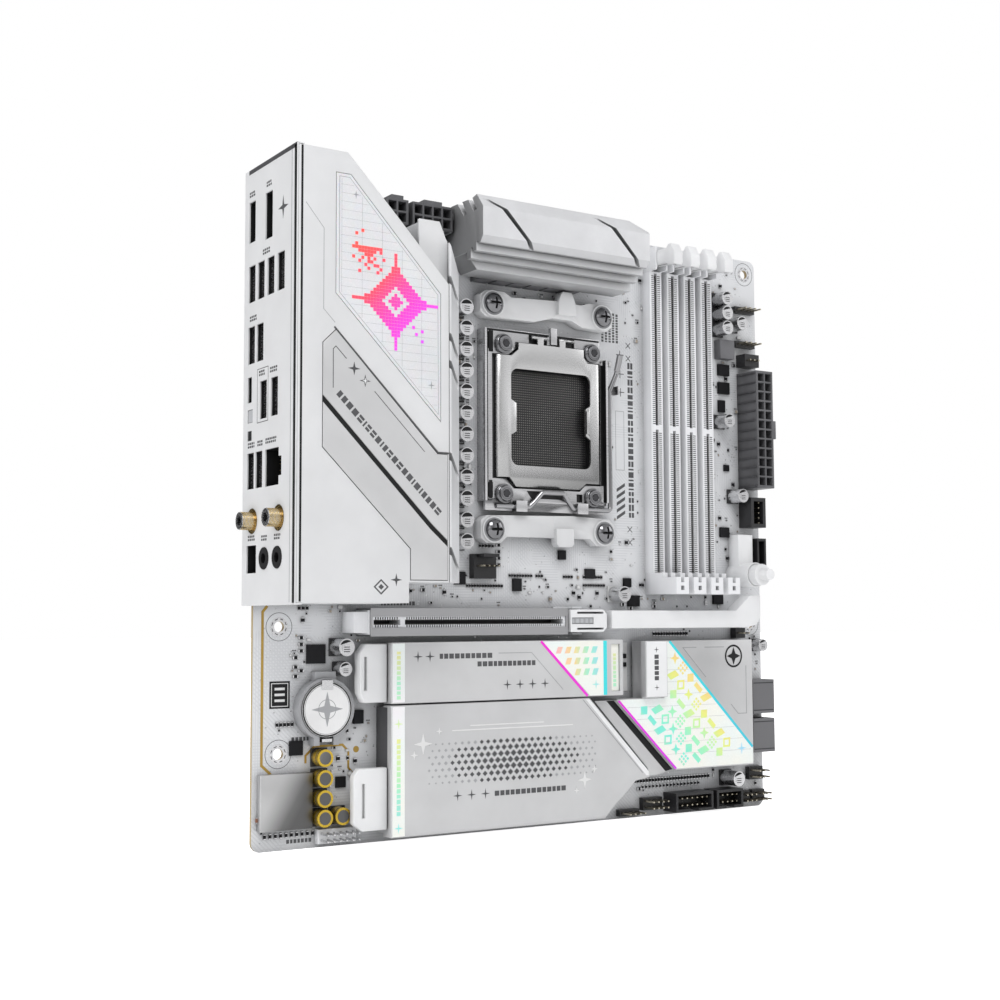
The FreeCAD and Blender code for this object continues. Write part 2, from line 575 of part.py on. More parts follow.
pocket(frame, "frame_screws", FRAME_SHEET, FRAME_SHEET, circles=[(x, z, 1.8) for x, z in TORX])
frame_folds = boxes([
    ("frame_rail_left", 95.0, 96.0, 5.2, 6.0, 129.0, 197.8),
    ("frame_skirt", 95.6, 154.0, 3.4, 4.9, 125.3, 129.4),
    ("frame_ridge", 126.2, 129.2, 5.2, 7.0, 193.6, 200.4),
    ("frame_rail_right", 153.4, 154.4, 5.2, 7.6, 130.0, 189.6),
    ("frame_leg0", 95.0, 96.2, 0.0, 4.4, 129.0, 197.8),
    ("frame_leg1", 152.9, 154.3, 0.0, 4.4, 130.0, 189.0),
    ("frame_curl0", 108.2, 113.4, 4.3, 8.2, 124.9, 129.3),
    ("frame_curl1", 138.2, 143.4, 4.3, 8.2, 124.9, 129.3),
    ("frame_hook", 154.2, 160.4, 4.3, 5.0, 175.6, 179.2),
    ("frame_hook_lip", 159.4, 160.4, 4.3, 7.8, 175.6, 179.2)])
LEVER_LEVEL, LEVER_Z = 6.3, 127.0           # axis of the lever's straight run
keep("socket_frame", cut("frame_final", fuse("frame_solid", [frame] + frame_folds),
                         [rod_x("frame_bore", LEVER_LEVEL, LEVER_Z, 1.06, 98.0, 150.0)]))

# load plate with two hinge pins along its upper edge
LOAD_PLATE = [
    (109.4, 135.0), (140.6, 135.0), (143.4, 137.6), (150.8, 137.6), (150.8, 187.4),
    (144.4, 187.4), (142.6, 189.6), (142.6, 192.9), (133.4, 192.9), (133.4, 195.6),
    (130.6, 195.6), (130.6, 192.9), (122.6, 192.9), (122.6, 195.6), (119.8, 195.6),
    (119.8, 192.9), (110.6, 192.9), (110.6, 190.2), (107.0, 187.4), (100.6, 187.4),
    (100.6, 138.6), (105.8, 138.6)]
BEND_X_PROFILE = [  # x, height
    (100.6, 4.6), (100.6, 5.3), (101.2, 6.0), (102.4, 6.5), (104.8, 6.9), (106.2, 7.0),
    (148.6, 7.0), (150.2, 6.7), (150.8, 6.0), (150.8, 4.9), (150.0, 4.9), (149.8, 5.7),
    (148.4, 5.9), (106.0, 5.9), (104.0, 5.7), (102.6, 5.2), (102.0, 4.6)]
BEND_Z_PROFILE = [  # height, z
    (5.0, 134.0), (5.9, 134.8), (6.5, 136.0), (6.9, 137.6), (7.0, 139.0), (7.0, 200.0),
    (4.0, 200.0), (4.0, 134.0)]
WINDOW_CORNER_R = 3.1


def corner_points(centre_x, centre_z, start_angle, steps=5):
    """A quarter round of the load plate window, turning anticlockwise in (x, z)."""
    angles = [math.radians(start_angle + 90.0 * i / steps) for i in range(steps + 1)]
    return [(round(centre_x + WINDOW_CORNER_R * math.cos(angle), 4),
             round(centre_z + WINDOW_CORNER_R * math.sin(angle), 4)) for angle in angles]


# rounded corners, with a shallow lug on each side
WINDOW = (
    corner_points(109.8, 146.6, 180) + corner_points(142.7, 146.6, 270)
    + [(145.8, 155.6), (143.4, 157.2), (143.4, 168.2), (145.8, 169.8)]
    + corner_points(142.7, 179.2, 0) + corner_points(109.8, 179.2, 90)
    + [(106.7, 169.8), (109.2, 168.4), (109.2, 157.0), (106.7, 155.6)])
load_plate = prism("load_plate_sheet", LOAD_PLATE, 4.6, 7.0)
pocket(load_plate, "load_plate_window", 2.4, 2.4, polys=[WINDOW])
# the sheet is bent down along its left, right and lower edges
bend_x = extrude_z("load_plate_bend_x", BEND_X_PROFILE, 130.0, 200.0)
bend_z = extrude_x("load_plate_bend_z", BEND_Z_PROFILE, 96.0, 156.0)
plate_pins = [rod_x("plate_pin0", 6.1, 195.8, 0.75, 117.2, 124.8),
              rod_x("plate_pin1", 6.1, 195.8, 0.75, 130.6, 138.2)]
plate_lug = box("load_plate_lug", 143.4, 144.6, 6.2, 7.8, 158.0, 167.4)
folded = common("load_plate_folded", load_plate, bend_x)
formed = common("load_plate_formed", folded, bend_z)
keep("load_plate", fuse("load_plate_solid", [formed, plate_lug] + plate_pins))

# load lever: one bent wire, cranked over the lower edge of the load plate
LEVER_BEND_R = 1.6
LEVER_PATH = [  # x, height above the straight run, z
    (99.6, 0.0, LEVER_Z), (115.4, 0.0, LEVER_Z), (118.0, 0.5, 129.4), (121.2, 1.2, 133.0),
    (131.6, 1.2, 133.0), (134.8, 0.5, 129.4), (137.2, 0.0, LEVER_Z), (156.0, 0.0, LEVER_Z),
    (156.0, 0.0, 176.6), (159.0, 1.0, 184.2), (159.9, 2.6, 192.0)]


def wire_solid(points, radius, bend):
    """A round wire swept along straight runs joined by arcs."""
    stations = [Vector(x - ORIGIN_X, -BOARD_THICK - height, z - ORIGIN_Z)
                for x, height, z in points]
    segments = []
    last = stations[0]
    for before, corner, after in zip(stations, stations[1:], stations[2:]):
        back = (before - corner).normalize()
        ahead = (after - corner).normalize()
        half = back.getAngle(ahead) / 2.0
        # short runs limit how far the arc may reach from the corner
        reach = min(bend / math.tan(half),
                    0.45 * min((before - corner).Length, (after - corner).Length))
        start, end = corner + back * reach, corner + ahead * reach
        arc_radius = reach * math.tan(half)
        middle = corner + (back + ahead).normalize() * (arc_radius / math.sin(half) - arc_radius)
        segments.append(Part.LineSegment(last, start).toShape())
        segments.append(Part.Arc(start, middle, end).toShape())
        last = end
    segments.append(Part.LineSegment(last, stations[-1]).toShape())
    circle = Part.Circle(stations[0], stations[1] - stations[0], radius)
    swept = Part.Wire(segments).makePipeShell([Part.Wire([circle.toShape()])], True, False, 2)
    # the sweep may come back as a closed shell
    return Part.Solid(swept) if swept.ShapeType == "Shell" else swept


lever = doc.addObject("Part::Feature", "lever_wire")
lever.Shape = wire_solid([(x, LEVER_LEVEL + rise, z) for x, rise, z in LEVER_PATH],
                         SHARED["lever_wire_r"], LEVER_BEND_R)
keep("load_lever", lever)

socket_screws = []
for i, (x, z) in enumerate(TORX):
    blank = fuse(f"torx_blank{i}", [
        post(f"torx_washer{i}", x, z, 3.9, 5.3, 6.5),
        post(f"torx_head{i}", x, z, 3.0, 6.4, 7.8),
        post(f"torx_shank{i}", x, z, 1.5, -3.0, 5.4)])
    drive = post(f"torx_drive{i}", x, z, 1.5, 6.3, 8.4)
    socket_screws.append(cut(f"torx_screw{i}", blank, [drive]))
keep_group("socket_screws", socket_screws)

# ------------------------------------------------------------------ cooler retention
# outlines (x, z)
BRACKET_TOP = [
    (93.2, 204.2), (96.0, 202.2), (119.0, 202.4), (128.0, 204.8), (137.6, 204.8),
    (143.0, 202.4), (155.6, 202.2), (158.4, 204.2), (158.4, 211.0), (155.6, 213.0),
    (146.6, 213.0), (142.4, 211.8), (129.5, 212.2), (108.0, 211.2), (104.6, 213.0),
    (96.0, 213.0), (93.2, 211.0)]
BRACKET_TOP_TAB = [
    (130.0, 206.4), (138.8, 206.4), (138.4, 211.6), (137.2, 214.6), (136.4, 216.0),
    (132.0, 216.0), (131.0, 214.6), (130.0, 211.6)]
BRACKET_BOTTOM = [
    (93.2, 114.2), (96.0, 112.2), (102.4, 112.4), (105.4, 115.0), (146.0, 115.0),
    (149.2, 112.4), (155.6, 112.2), (158.4, 114.2), (158.4, 121.2), (155.6, 123.4),
    (137.0, 124.2), (128.0, 123.9), (104.0, 123.4), (96.0, 123.2), (93.2, 121.2)]
BRACKET_BOTTOM_TAB = [
    (128.0, 118.8), (128.2, 112.6), (129.2, 111.4), (135.6, 111.4), (136.6, 112.6),
    (136.8, 118.8)]
BRACKET_BORE_R = 2.3
for side, outline, tab_outline, centres in (
        ("top", BRACKET_TOP, BRACKET_TOP_TAB, COOLER[:2]),
        ("bottom", BRACKET_BOTTOM, BRACKET_BOTTOM_TAB, COOLER[2:])):
    name = "bracket_" + side
    body = prism(name + "_body", outline, 0.2, 5.6,
                 circles=[(x, z, BRACKET_BORE_R) for x, z in centres])
    tab = prism(name + "_tab", tab_outline, 3.4, 7.4)
    raw = fuse(name + "_raw", [body, tab] + posts(name + "_collar", centres, 5.3, 0.2, 6.6))
    keep("cooler_" + name, cut(name + "_final", raw,
                               posts(name + "_bore", centres, BRACKET_BORE_R, 0.0, 7.0)))

cooler_screws = []
for i, (x, z) in enumerate(COOLER):
    # a sphere centred 3.7 above the board domes the head
    dome = doc.addObject("Part::Sphere", f"cooler_dome{i}")
    dome.Radius = 5.6
    dome.Placement = Placement(Vector(x - ORIGIN_X, -BOARD_THICK - 3.7, z - ORIGIN_Z), Rotation())
    head = common(f"cooler_head{i}", post(f"cooler_head_blank{i}", x, z, 3.9, 6.6, 9.6), dome)
    shank = post(f"cooler_shank{i}", x, z, 1.45, -2.6, 6.7)
    cooler_screws.append(cut(f"cooler_screw{i}", fuse(f"cooler_blank{i}", [head, shank]),
                             cross_recess("cooler_drive", i, x, z, 2.4, 0.45, 7.6, 9.5)))
keep_group("cooler_screws", cooler_screws)

BACKPLATE = [
    (92.0, 112.0), (104.0, 110.4), (147.5, 110.4), (159.5, 112.0), (160.0, 124.0),
    (157.0, 136.0), (157.0, 189.0), (160.0, 201.0), (159.5, 213.2), (147.5, 214.8),
    (104.0, 214.8), (92.0, 213.2), (91.5, 201.0), (94.5, 189.0), (94.5, 136.0), (91.5, 124.0)]
BACKPLATE_THICK = 2.23
backplate = prism("backplate_sheet", BACKPLATE, -4.0, -4.0 + BACKPLATE_THICK)
pocket(backplate, "backplate_window", BACKPLATE_THICK, BACKPLATE_THICK,
       polys=[rect(108.5, 143.0, 146.0, 180.0)])
backplate_raw = fuse("backplate_raw",
                     [backplate] + posts("backplate_stud", COOLER, 2.1, -2.0, 0.1))
keep("cooler_backplate", cut("backplate_final", backplate_raw,
                             posts("backplate_tap", COOLER, 1.5, -5.0, 1.0)
                             + posts("backplate_torx", TORX, 1.56, -5.0, 0.0)))

# ------------------------------------------------------------------ memory slots and latches
FIRST_SLOT_X = 182.2
# boxes: name, x0, x1 from the slot's middle, h0, h1, z0, z1
MEMORY_SOLIDS = [
    ("bar", -3.2, 3.2, 0.0, 5.4, 99.0, 231.0),
    ("tower", -3.3, 3.3, 0.0, 20.8, 92.6, 99.6),
    ("tower_foot", -3.3, 3.3, 0.0, 12.0, 99.5, 101.6),
    ("cheek_a", -3.3, -2.4, 0.0, 9.6, 230.9, 240.8),
    ("cheek_b", 2.4, 3.3, 0.0, 9.6, 230.9, 240.8),
    ("floor", -3.3, 3.3, 0.0, 0.8, 230.9, 240.8)]
MEMORY_GROOVES = [
    ("groove_a", -0.8, 0.8, 1.4, 6.0, 101.0, 162.7),
    ("groove_b", -0.8, 0.8, 1.4, 6.0, 164.5, 230.2),
    ("groove_c", -0.85, 0.85, 1.4, 22.0, 97.4, 101.8),
    ("tower_eye", -0.9, 0.9, 18.4, 22.0, 94.2, 96.0)]
LATCH_SLOT = [("latch_slot", -0.85, 0.85, 6.0, 19.4, 230.0, 235.6)]
LATCH_ARM = [  # height, z
    (4.2, 233.2), (15.0, 232.6), (17.0, 231.4), (20.4, 231.2), (21.0, 232.4), (21.0, 236.4),
    (19.6, 238.6), (18.6, 240.4), (16.8, 240.4), (15.4, 238.8), (4.2, 239.3)]
LATCH_HALF = 2.3                            # half the latch's width
PIVOT = ("latch_pivot_height", "latch_pivot_z")


def slot_boxes(slot, middle, rows):
    return [box(f"{slot}_{part}", middle + x0, middle + x1, *rest)
            for part, x0, x1, *rest in rows]


for k in range(4):
    middle = FIRST_SLOT_X + k * SHARED["slot_pitch"]
    slot = f"mem{k + 1}"
    raw = fuse(slot + "_raw", slot_boxes(slot, middle, MEMORY_SOLIDS))
    cuts = slot_boxes(slot, middle, MEMORY_GROOVES)
    cuts.append(rod_x(slot + "_pin_eye", *PIVOT, 0.86, middle - 4.0, middle + 4.0))
    keep(f"memory_slot_{k + 1}", cut(slot + "_final", raw, cuts))
    latch = fuse(slot + "_latch_raw", [
        rod_x(slot + "_hub", *PIVOT, 3.2, middle - LATCH_HALF, middle + LATCH_HALF),
        rod_x(slot + "_pin", *PIVOT, 0.8, middle - 3.25, middle + 3.25),
        extrude_x(slot + "_arm", LATCH_ARM, middle - LATCH_HALF, middle + LATCH_HALF)])
    keep(f"memory_latch_{k + 1}",
         cut(slot + "_latch_final", latch, slot_boxes(slot, middle, LATCH_SLOT)))

# ------------------------------------------------------------------ graphics slot
HINGE_X, HINGE_LEVEL = 140.0, 2.6           # axis of the slot latch, along z
slot_raw = fuse("slot_raw", boxes([
    ("slot_end", 35.6, 41.3, 0.0, 9.4, 77.6, 85.4),
    ("slot_bar", 41.2, 130.9, 0.0, 10.7, 77.0, 86.0),
    ("slot_floor", 130.7, 144.0, 0.0, 0.9, 76.0, 87.4),
    ("slot_ear_a", 137.6, 142.4, 0.0, 4.4, 76.0, 76.9),
    ("slot_ear_b", 137.6, 142.4, 0.0, 4.4, 86.5, 87.4)]))
slot_cuts = boxes([
    ("slot_groove_a", 43.2, 54.4, 1.8, 12.0, 80.55, 82.45),
    ("slot_groove_b", 56.4, 128.6, 1.8, 12.0, 80.55, 82.45)])
slot_cuts.append(rod_z("slot_ear_eye", HINGE_X, HINGE_LEVEL, 0.86, 75.0, 88.0))
keep("pcie_slot", cut("slot_final", slot_raw, slot_cuts))
keep("pcie_shroud", cut("shroud_final",
                        box("shroud_outer", 41.6, 130.5, 0.0, 11.25, 76.3, 86.7), boxes([
                            ("shroud_inner", 41.0, 131.0, -1.0, 10.75, 76.95, 86.05),
                            ("shroud_mouth", 42.4, 129.6, 10.0, 12.0, 79.4, 83.6)])))

LATCH_FORK = [(131.4, 77.2), (147.6, 77.2), (149.4, 79.0), (149.4, 84.4), (147.6, 86.2),
              (131.4, 86.2)]
fork = prism("latch_fork", LATCH_FORK, 4.0, 12.0)
pocket(fork, "latch_fork_slots", 8.0, 5.0,
       polys=[rect(134.6, 147.8, 78.1, 78.9), rect(134.6, 147.8, 84.5, 85.3)])
pocket(fork, "latch_fork_well", 8.0, 1.2, polys=[rect(132.0, 142.8, 80.4, 83.0)])
keep("pcie_latch", fuse("pcie_latch_solid", [
    fork,
    box("latch_knuckle", 138.6, 141.4, HINGE_LEVEL, 4.2, 77.2, 86.2),
    rod_z("latch_knuckle_round", HINGE_X, HINGE_LEVEL, 1.4, 77.2, 86.2),
    rod_z("latch_pin", HINGE_X, HINGE_LEVEL, 0.8, 76.1, 87.3)]))

# remote release: a hollow link and a push button in a round sleeve
LINK = [(152.0, 78.5), (225.0, 78.5), (231.0, 79.6), (233.2, 83.2), (233.2, 92.4),
        (227.6, 92.4), (219.0, 85.8), (152.0, 85.8)]
LINK_HOLLOW = [(153.4, 79.9), (224.8, 79.9), (230.2, 80.9), (231.8, 83.8), (231.8, 91.0),
               (228.2, 91.0), (219.6, 84.4), (153.4, 84.4)]
RELEASE = (229.2, 101.2)                    # x, z of the button
link = prism("release_link", LINK, 5.4, 12.0)
pocket(link, "release_link_hollow", 5.2, 5.2, polys=[LINK_HOLLOW])
keep("release_bar", link)
release_raw = fuse("release_housing_raw", [
    post("release_sleeve", *RELEASE, 5.4, 0.0, 14.0),
    box("release_block", 225.6, 234.0, 0.0, 6.8, 103.0, 119.0)])
keep("release_housing", cut("release_housing_final", release_raw,
                            [post("release_sleeve_bore", *RELEASE, 4.66, 0.8, 15.0)]))
keep("release_button", fuse("release_button_solid", [
    post("release_plunger", *RELEASE, 4.6, 6.0, 18.2),
    post("release_tip", *RELEASE, 2.4, 18.1, 23.0)]))

# ------------------------------------------------------------------ drive heatsinks and clips
DRIVE_LOWER = [
    (50.0, 2.6), (147.6, 2.6), (152.2, 7.2), (157.0, 11.0), (163.4, 16.6), (170.6, 17.6),
    (170.6, 19.6), (140.4, 50.8), (50.0, 50.8)]
CLIP_UPPER = [(40.2, 52.0), (49.6, 52.0), (49.6, 73.6), (41.0, 73.6), (38.4, 70.4),
              (38.4, 55.6)]
CLIP_LOWER = [(35.8, 8.4), (39.4, 5.6), (49.6, 5.6), (49.6, 28.2), (38.0, 28.2),
              (35.8, 25.6)]
DRIVE_H0, DRIVE_H1 = 5.6, 12.0

upper = prism("drive_upper_plate", rect(50.0, 157.5, 51.4, 74.0), DRIVE_H0, DRIVE_H1)
pocket(upper, "drive_upper_frame", 6.4, 1.2, polys=[rect(151.6, 156.0, 53.2, 72.2)])
keep("m2_heatsink_upper", fuse("drive_upper_solid", [upper] + boxes([
    ("drive_upper_leg0", 50.0, 53.6, 0.3, 5.7, 52.4, 73.0),
    ("drive_upper_leg1", 153.6, 157.5, 0.3, 5.7, 52.4, 73.0)])))
lower = prism("drive_lower_plate", DRIVE_LOWER, DRIVE_H0, DRIVE_H1)
keep("m2_heatsink_lower", fuse("drive_lower_solid", [lower] + boxes([
    ("drive_lower_leg0", 50.0, 53.6, 0.3, 5.7, 4.0, 50.0),
    ("drive_lower_leg1", 143.0, 147.0, 0.3, 5.7, 12.0, 40.0)])))
for side, outline, h0, h1, grip, foot in (
        ("upper", CLIP_UPPER, 4.4, 9.4, rect(40.2, 41.2, 56.6, 68.8),
         (42.0, 49.0, 0.4, 4.5, 56.0, 70.0)),
        ("lower", CLIP_LOWER, 6.2, 9.6, rect(39.4, 40.4, 10.4, 22.6),
         (44.0, 49.0, 0.4, 6.3, 8.0, 20.0))):
    name = "clip_" + side
    clip = prism(name + "_body", outline, h0, h1)
    pocket(clip, name + "_grip", h1 - h0, 1.4, polys=[grip])
    keep("m2_" + name, fuse(name + "_solid", [clip, box(name + "_foot", *foot)]))

UPPER_DRIVE_Z, LOWER_DRIVE_Z = 62.7, 27.0
drive_sockets = []
for i, (x, z) in enumerate(((140.0, UPPER_DRIVE_Z), (131.0, LOWER_DRIVE_Z))):
    body = box(f"drive_socket_body{i}", x, x + 8.6, 0.0, 4.2, z - 11.0, z + 11.0)
    mouth = box(f"drive_socket_mouth{i}", x - 1, x + 6.2, 1.5, 2.9, z - 9.9, z + 9.9)
    drive_sockets.append(cut(f"drive_socket{i}", body, [mouth]))
keep_group("m2_sockets", drive_sockets)
drive_posts = [(61.0, UPPER_DRIVE_Z), (58.0, LOWER_DRIVE_Z), (78.0, LOWER_DRIVE_Z)]
keep_group("m2_standoffs", [
    fuse(f"drive_post{i}", [post(f"drive_post_base{i}", x, z, 2.6, 0.0, 1.9),
                            post(f"drive_post_head{i}", x, z, 1.6, 1.8, 3.2)])
    for i, (x, z) in enumerate(drive_posts)])
keep("m2_thermal_pads", group("m2_pads_group", boxes([
    ("drive_pad_upper", 66.0, 132.0, 4.4, DRIVE_H0, 52.8, 72.6),
    ("drive_pad_lower", 84.0, 126.0, 4.4, DRIVE_H0, 17.0, 37.0)])))

# ------------------------------------------------------------------ chipset heatsink
HUB_PLATE = [
    (156.1, 49.2), (186.8, 19.4), (230.4, 19.4), (230.4, 73.2), (181.8, 73.2), (170.9, 73.2),
    (169.4, 73.2), (169.4, 49.6), (156.5, 49.6)]
HUB_STEP = [(146.4, 49.2), (156.6, 49.2), (187.2, 19.6), (178.4, 17.6), (173.6, 17.6),
            (173.6, 20.6)]
hub_raw = fuse("hub_raw", [
    prism("hub_plate", HUB_PLATE, 2.6, 9.0),
    prism("hub_strip", rect(169.2, 180.6, 50.0, 73.2), 8.8, 12.0),
    prism("hub_step", HUB_STEP, 2.6, 7.0)]
    + posts("hub_foot", CHIPSET_SCREWS, 2.6, 0.05, 2.8))
keep("chipset_heatsink", cut("hub_final", hub_raw,
                             posts("hub_tap", CHIPSET_SCREWS, TAP_R, -1.0, 6.0)))

# screws of all three heatsinks, driven from the back of the board
sink_screws = []
for i, (x, z) in enumerate(SINK_SCREWS):
    blank = fuse(f"sink_blank{i}", [
        post(f"sink_head{i}", x, z, 2.7, -3.3, -BOARD_THICK),
        post(f"sink_shank{i}", x, z, 1.2, -1.7, 5.0)])
    sink_screws.append(cut(f"sink_screw{i}", blank,
                           cross_recess("sink_drive", i, x, z, 1.6, 0.3, -3.6, -2.4)))
keep_group("heatsink_screws", sink_screws)

# ------------------------------------------------------------------ battery, sound, cans
CELL = (27.2, 50.0)                         # x, z
AUDIO_CANS = [(26.2, 32.5), (26.2, 25.1), (26.2, 17.9), (26.2, 10.9), (33.5, 11.2)]
CANS = [  # x, z, radius, height
    (33.4, 72.4, 3.2, 8.4), (34.2, 64.4, 2.6, 6.0), (221.0, 223.6, 3.1, 7.6),
    (221.0, 217.0, 3.1, 7.6), (221.0, 210.4, 3.1, 7.6), (229.6, 213.2, 3.1, 7.6),
    (228.4, 136.2, 3.0, 7.6), (221.2, 169.1, 3.0, 7.6), (161.8, 92.6, 3.2, 8.0),
    (221.6, 13.6, 3.2, 9.4), (239.6, 70.6, 2.6, 6.4)]
holder = fuse("cell_holder_raw", [
    post("cell_holder_cup", *CELL, 11.3, 0.0, 4.6),
    box("cell_holder_arm", 22.2, 32.2, 0.0, 4.6, 37.0, 41.0),
    box("cell_holder_tail", 23.0, 31.4, 0.0, 3.6, 60.0, 63.6)])
keep("battery_holder", cut("cell_holder_final", holder, [
    post("cell_holder_well", *CELL, 10.15, 1.8, 5.0),
    box("cell_holder_relief", 24.4, 30.0, 1.8, 5.0, 36.0, 41.6)]))
keep("coin_cell", post("cell_disc", *CELL, 10.0, 1.9, 5.1))
keep("audio_shield", cut("can_final", box("can_outer", 2.0, 22.5, 0.0, 3.2, 7.5, 27.4),
                         [box("can_inner", 2.3, 22.2, -1.0, 2.9, 7.8, 27.1)]))
keep("audio_capacitors",
     group("audio_caps_group", posts("audio_can", AUDIO_CANS, 3.15, 0.0, 5.9)))
keep("can_capacitors", group("can_caps_group", [
    post(f"can_cap{i}", x, z, radius, 0.0, top) for i, (x, z, radius, top) in enumerate(CANS)]))

# ------------------------------------------------------------------ power connectors
POWER_TOP = 12.8
RIDGE_H = (6.0, POWER_TOP)
CELL_DEPTH = 9.6
CELL_HALF = 1.72                            # half the side of a square cell


def power_block(name, x0, x1, z0, z1, columns, rows):
    """Power connector with a centred grid of deep square cells."""
    pitch = SHARED["pin_pitch"]
    body = prism(name, rect(x0, x1, z0, z1), 0.0, POWER_TOP)
    x = (x0 + x1) / 2.0 - pitch * (columns - 1) / 2.0
    z = (z0 + z1) / 2.0 - pitch * (rows - 1) / 2.0
    first_cell = pocket(body, name + "_cell", POWER_TOP, CELL_DEPTH, polys=[
        rect(x - CELL_HALF, x + CELL_HALF, z - CELL_HALF, z + CELL_HALF)])
    grid = body.newObject("PartDesign::MultiTransform", name + "_grid")
    grid.Originals = [first_cell]
    patterns = []
    for suffix, axis, count in (("_row", "H_Axis", columns), ("_column", "V_Axis", rows)):
        pattern = body.newObject("PartDesign::LinearPattern", name + suffix)
        pattern.Direction = (first_cell.Profile[0], [axis])
        pattern.Length = pitch * (count - 1)
        pattern.Occurrences = count
        pattern.setExpression("Length", f"Dims.pin_pitch * {count - 1}")
        patterns.append(pattern)
    grid.Transformations = patterns
    body.Tip = grid
    return body


keep("power_connector_main", fuse("main_power_solid", [
    power_block("main_power", 232.4, 242.0, 139.6, 191.6, 2, 12),
    box("main_power_ridge", 241.9, 243.5, *RIDGE_H, 161.6, 169.6)]))
eight = power_block("cpu_power_eight", 58.4, 76.2, 231.9, 241.4, 4, 2)
four = power_block("cpu_power_four", 47.0, 56.6, 231.9, 241.4, 2, 2)
ridge_eight = box("cpu_power_ridge_a", 63.4, 71.4, *RIDGE_H, 241.3, 242.8)
ridge_four = box("cpu_power_ridge_b", 49.2, 54.4, *RIDGE_H, 241.3, 242.8)
keep("power_connector_cpu", group("cpu_power_group", [
    fuse("cpu_power_solid_a", [eight, ridge_eight]),
    fuse("cpu_power_solid_b", [four, ridge_four])]))

# ------------------------------------------------------------------ signal connectors
keep_group("sata_ports", [
    cut(f"sata_port{i}", box(f"sata_body{i}", 231.2, 243.6, 0.0, 8.4, z, z + 14.6),
        [box(f"sata_mouth{i}", 237.0, 244.0, 1.6, 6.6, z + 1.4, z + 13.2)])
    for i, z in enumerate((24.2, 41.0))])

SHROUDED_X = [(187.2, 207.6), (209.6, 224.4)]
SHROUDED_Z0, SHROUDED_Z1, SHROUDED_TOP = 1.6, 9.4, 8.6
SHROUD_WALL = 1.1
PIN_STRIPS = [  # x0, x1, z0, z1
    (25.0, 40.2, 1.6, 6.6), (162.2, 172.4, 1.2, 3.8), (174.4, 184.6, 2.8, 7.9),
    (226.0, 233.6, 2.4, 7.5), (235.2, 242.4, 2.4, 7.5), (233.6, 241.6, 12.0, 17.4)]
headers = []
for i, (x0, x1) in enumerate(SHROUDED_X):
    middle = (x0 + x1) / 2
    body = box(f"shrouded_body{i}", x0, x1, 0.0, SHROUDED_TOP, SHROUDED_Z0, SHROUDED_Z1)
    headers.append(cut(f"shrouded_header{i}", body, boxes([
        (f"shrouded_well{i}", x0 + SHROUD_WALL, x1 - SHROUD_WALL, 1.6, SHROUDED_TOP + 1,
         SHROUDED_Z0 + SHROUD_WALL, SHROUDED_Z1 - SHROUD_WALL),
        (f"shrouded_key{i}", middle - 2.2, middle + 2.2, 3.0, SHROUDED_TOP + 1,
         SHROUDED_Z0 - 1, SHROUDED_Z0 + 1.3)])))
headers += [box(f"pin_strip{i}", x0, x1, 0.0, 2.5, z0, z1)
            for i, (x0, x1, z0, z1) in enumerate(PIN_STRIPS)]
headers.append(cut("front_usb_block",
                   box("front_usb_body", 232.4, 241.0, 0.0, 8.0, 122.4, 135.6),
                   [box("front_usb_well", 234.0, 239.4, 2.0, 9.0, 124.0, 134.0)]))
headers.append(cut("front_usb_small_block",
                   box("front_usb_small_body", 236.2, 241.4, 0.0, 7.4, 105.4, 117.6),
                   [box("front_usb_small_well", 237.2, 240.4, 2.0, 9.0, 106.6, 116.4)]))
keep_group("board_headers", headers)

# fan headers; only the first has an upright back
keep_group("fan_headers", [fuse("fan_socket0", boxes([
    ("fan_base0", 91.2, 101.6, 0.0, 3.4, 98.4, 108.0),
    ("fan_back0", 92.8, 100.0, 3.3, 8.4, 106.7, 108.0)]))] + boxes([
        ("fan_base1", 232.2, 240.6, 0.0, 5.8, 194.4, 200.0),
        ("fan_base2", 229.8, 241.2, 0.0, 2.5, 203.4, 206.2),
        ("fan_base3", 229.8, 241.2, 0.0, 2.5, 219.0, 221.8),
        ("fan_base4", 226.2, 231.6, 0.0, 3.6, 73.8, 78.2)]))

# ------------------------------------------------------------------ check and write
doc.recompute()
bad = [o.Name for o in doc.Objects if "Invalid" in o.State or "Error" in o.State]
if bad:
    raise RuntimeError("failed objects: " + ", ".join(bad[:20]))
for label, obj in pieces.items():
    shape = obj.Shape
    if shape.isNull() or not shape.isValid() or len(shape.Solids) < 1:
        raise RuntimeError("bad shape: " + label)
    if any(solid.Volume <= 0 for solid in shape.Solids):
        raise RuntimeError("inside-out solid: " + label)
for file_name in os.listdir("parts"):
    if file_name.endswith(".step"):
        os.remove(os.path.join("parts", file_name))
for label, obj in pieces.items():
    obj.Shape.exportStep(f"parts/{label}.step")
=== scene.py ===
"""A computer mainboard standing upright on its edge.

World: +X runs right along the board, +Z up it, and the parts stand out toward -Y.
Board coordinates (x, h, z) are in millimetres from the lower left corner of the board;
h is the height above the component face. The rear panel with its ports is at low x.
"""
import json
import math
import random
import bpy
import bmesh
from mathutils import Matrix, Vector
from mathutils.bvhtree import BVHTree


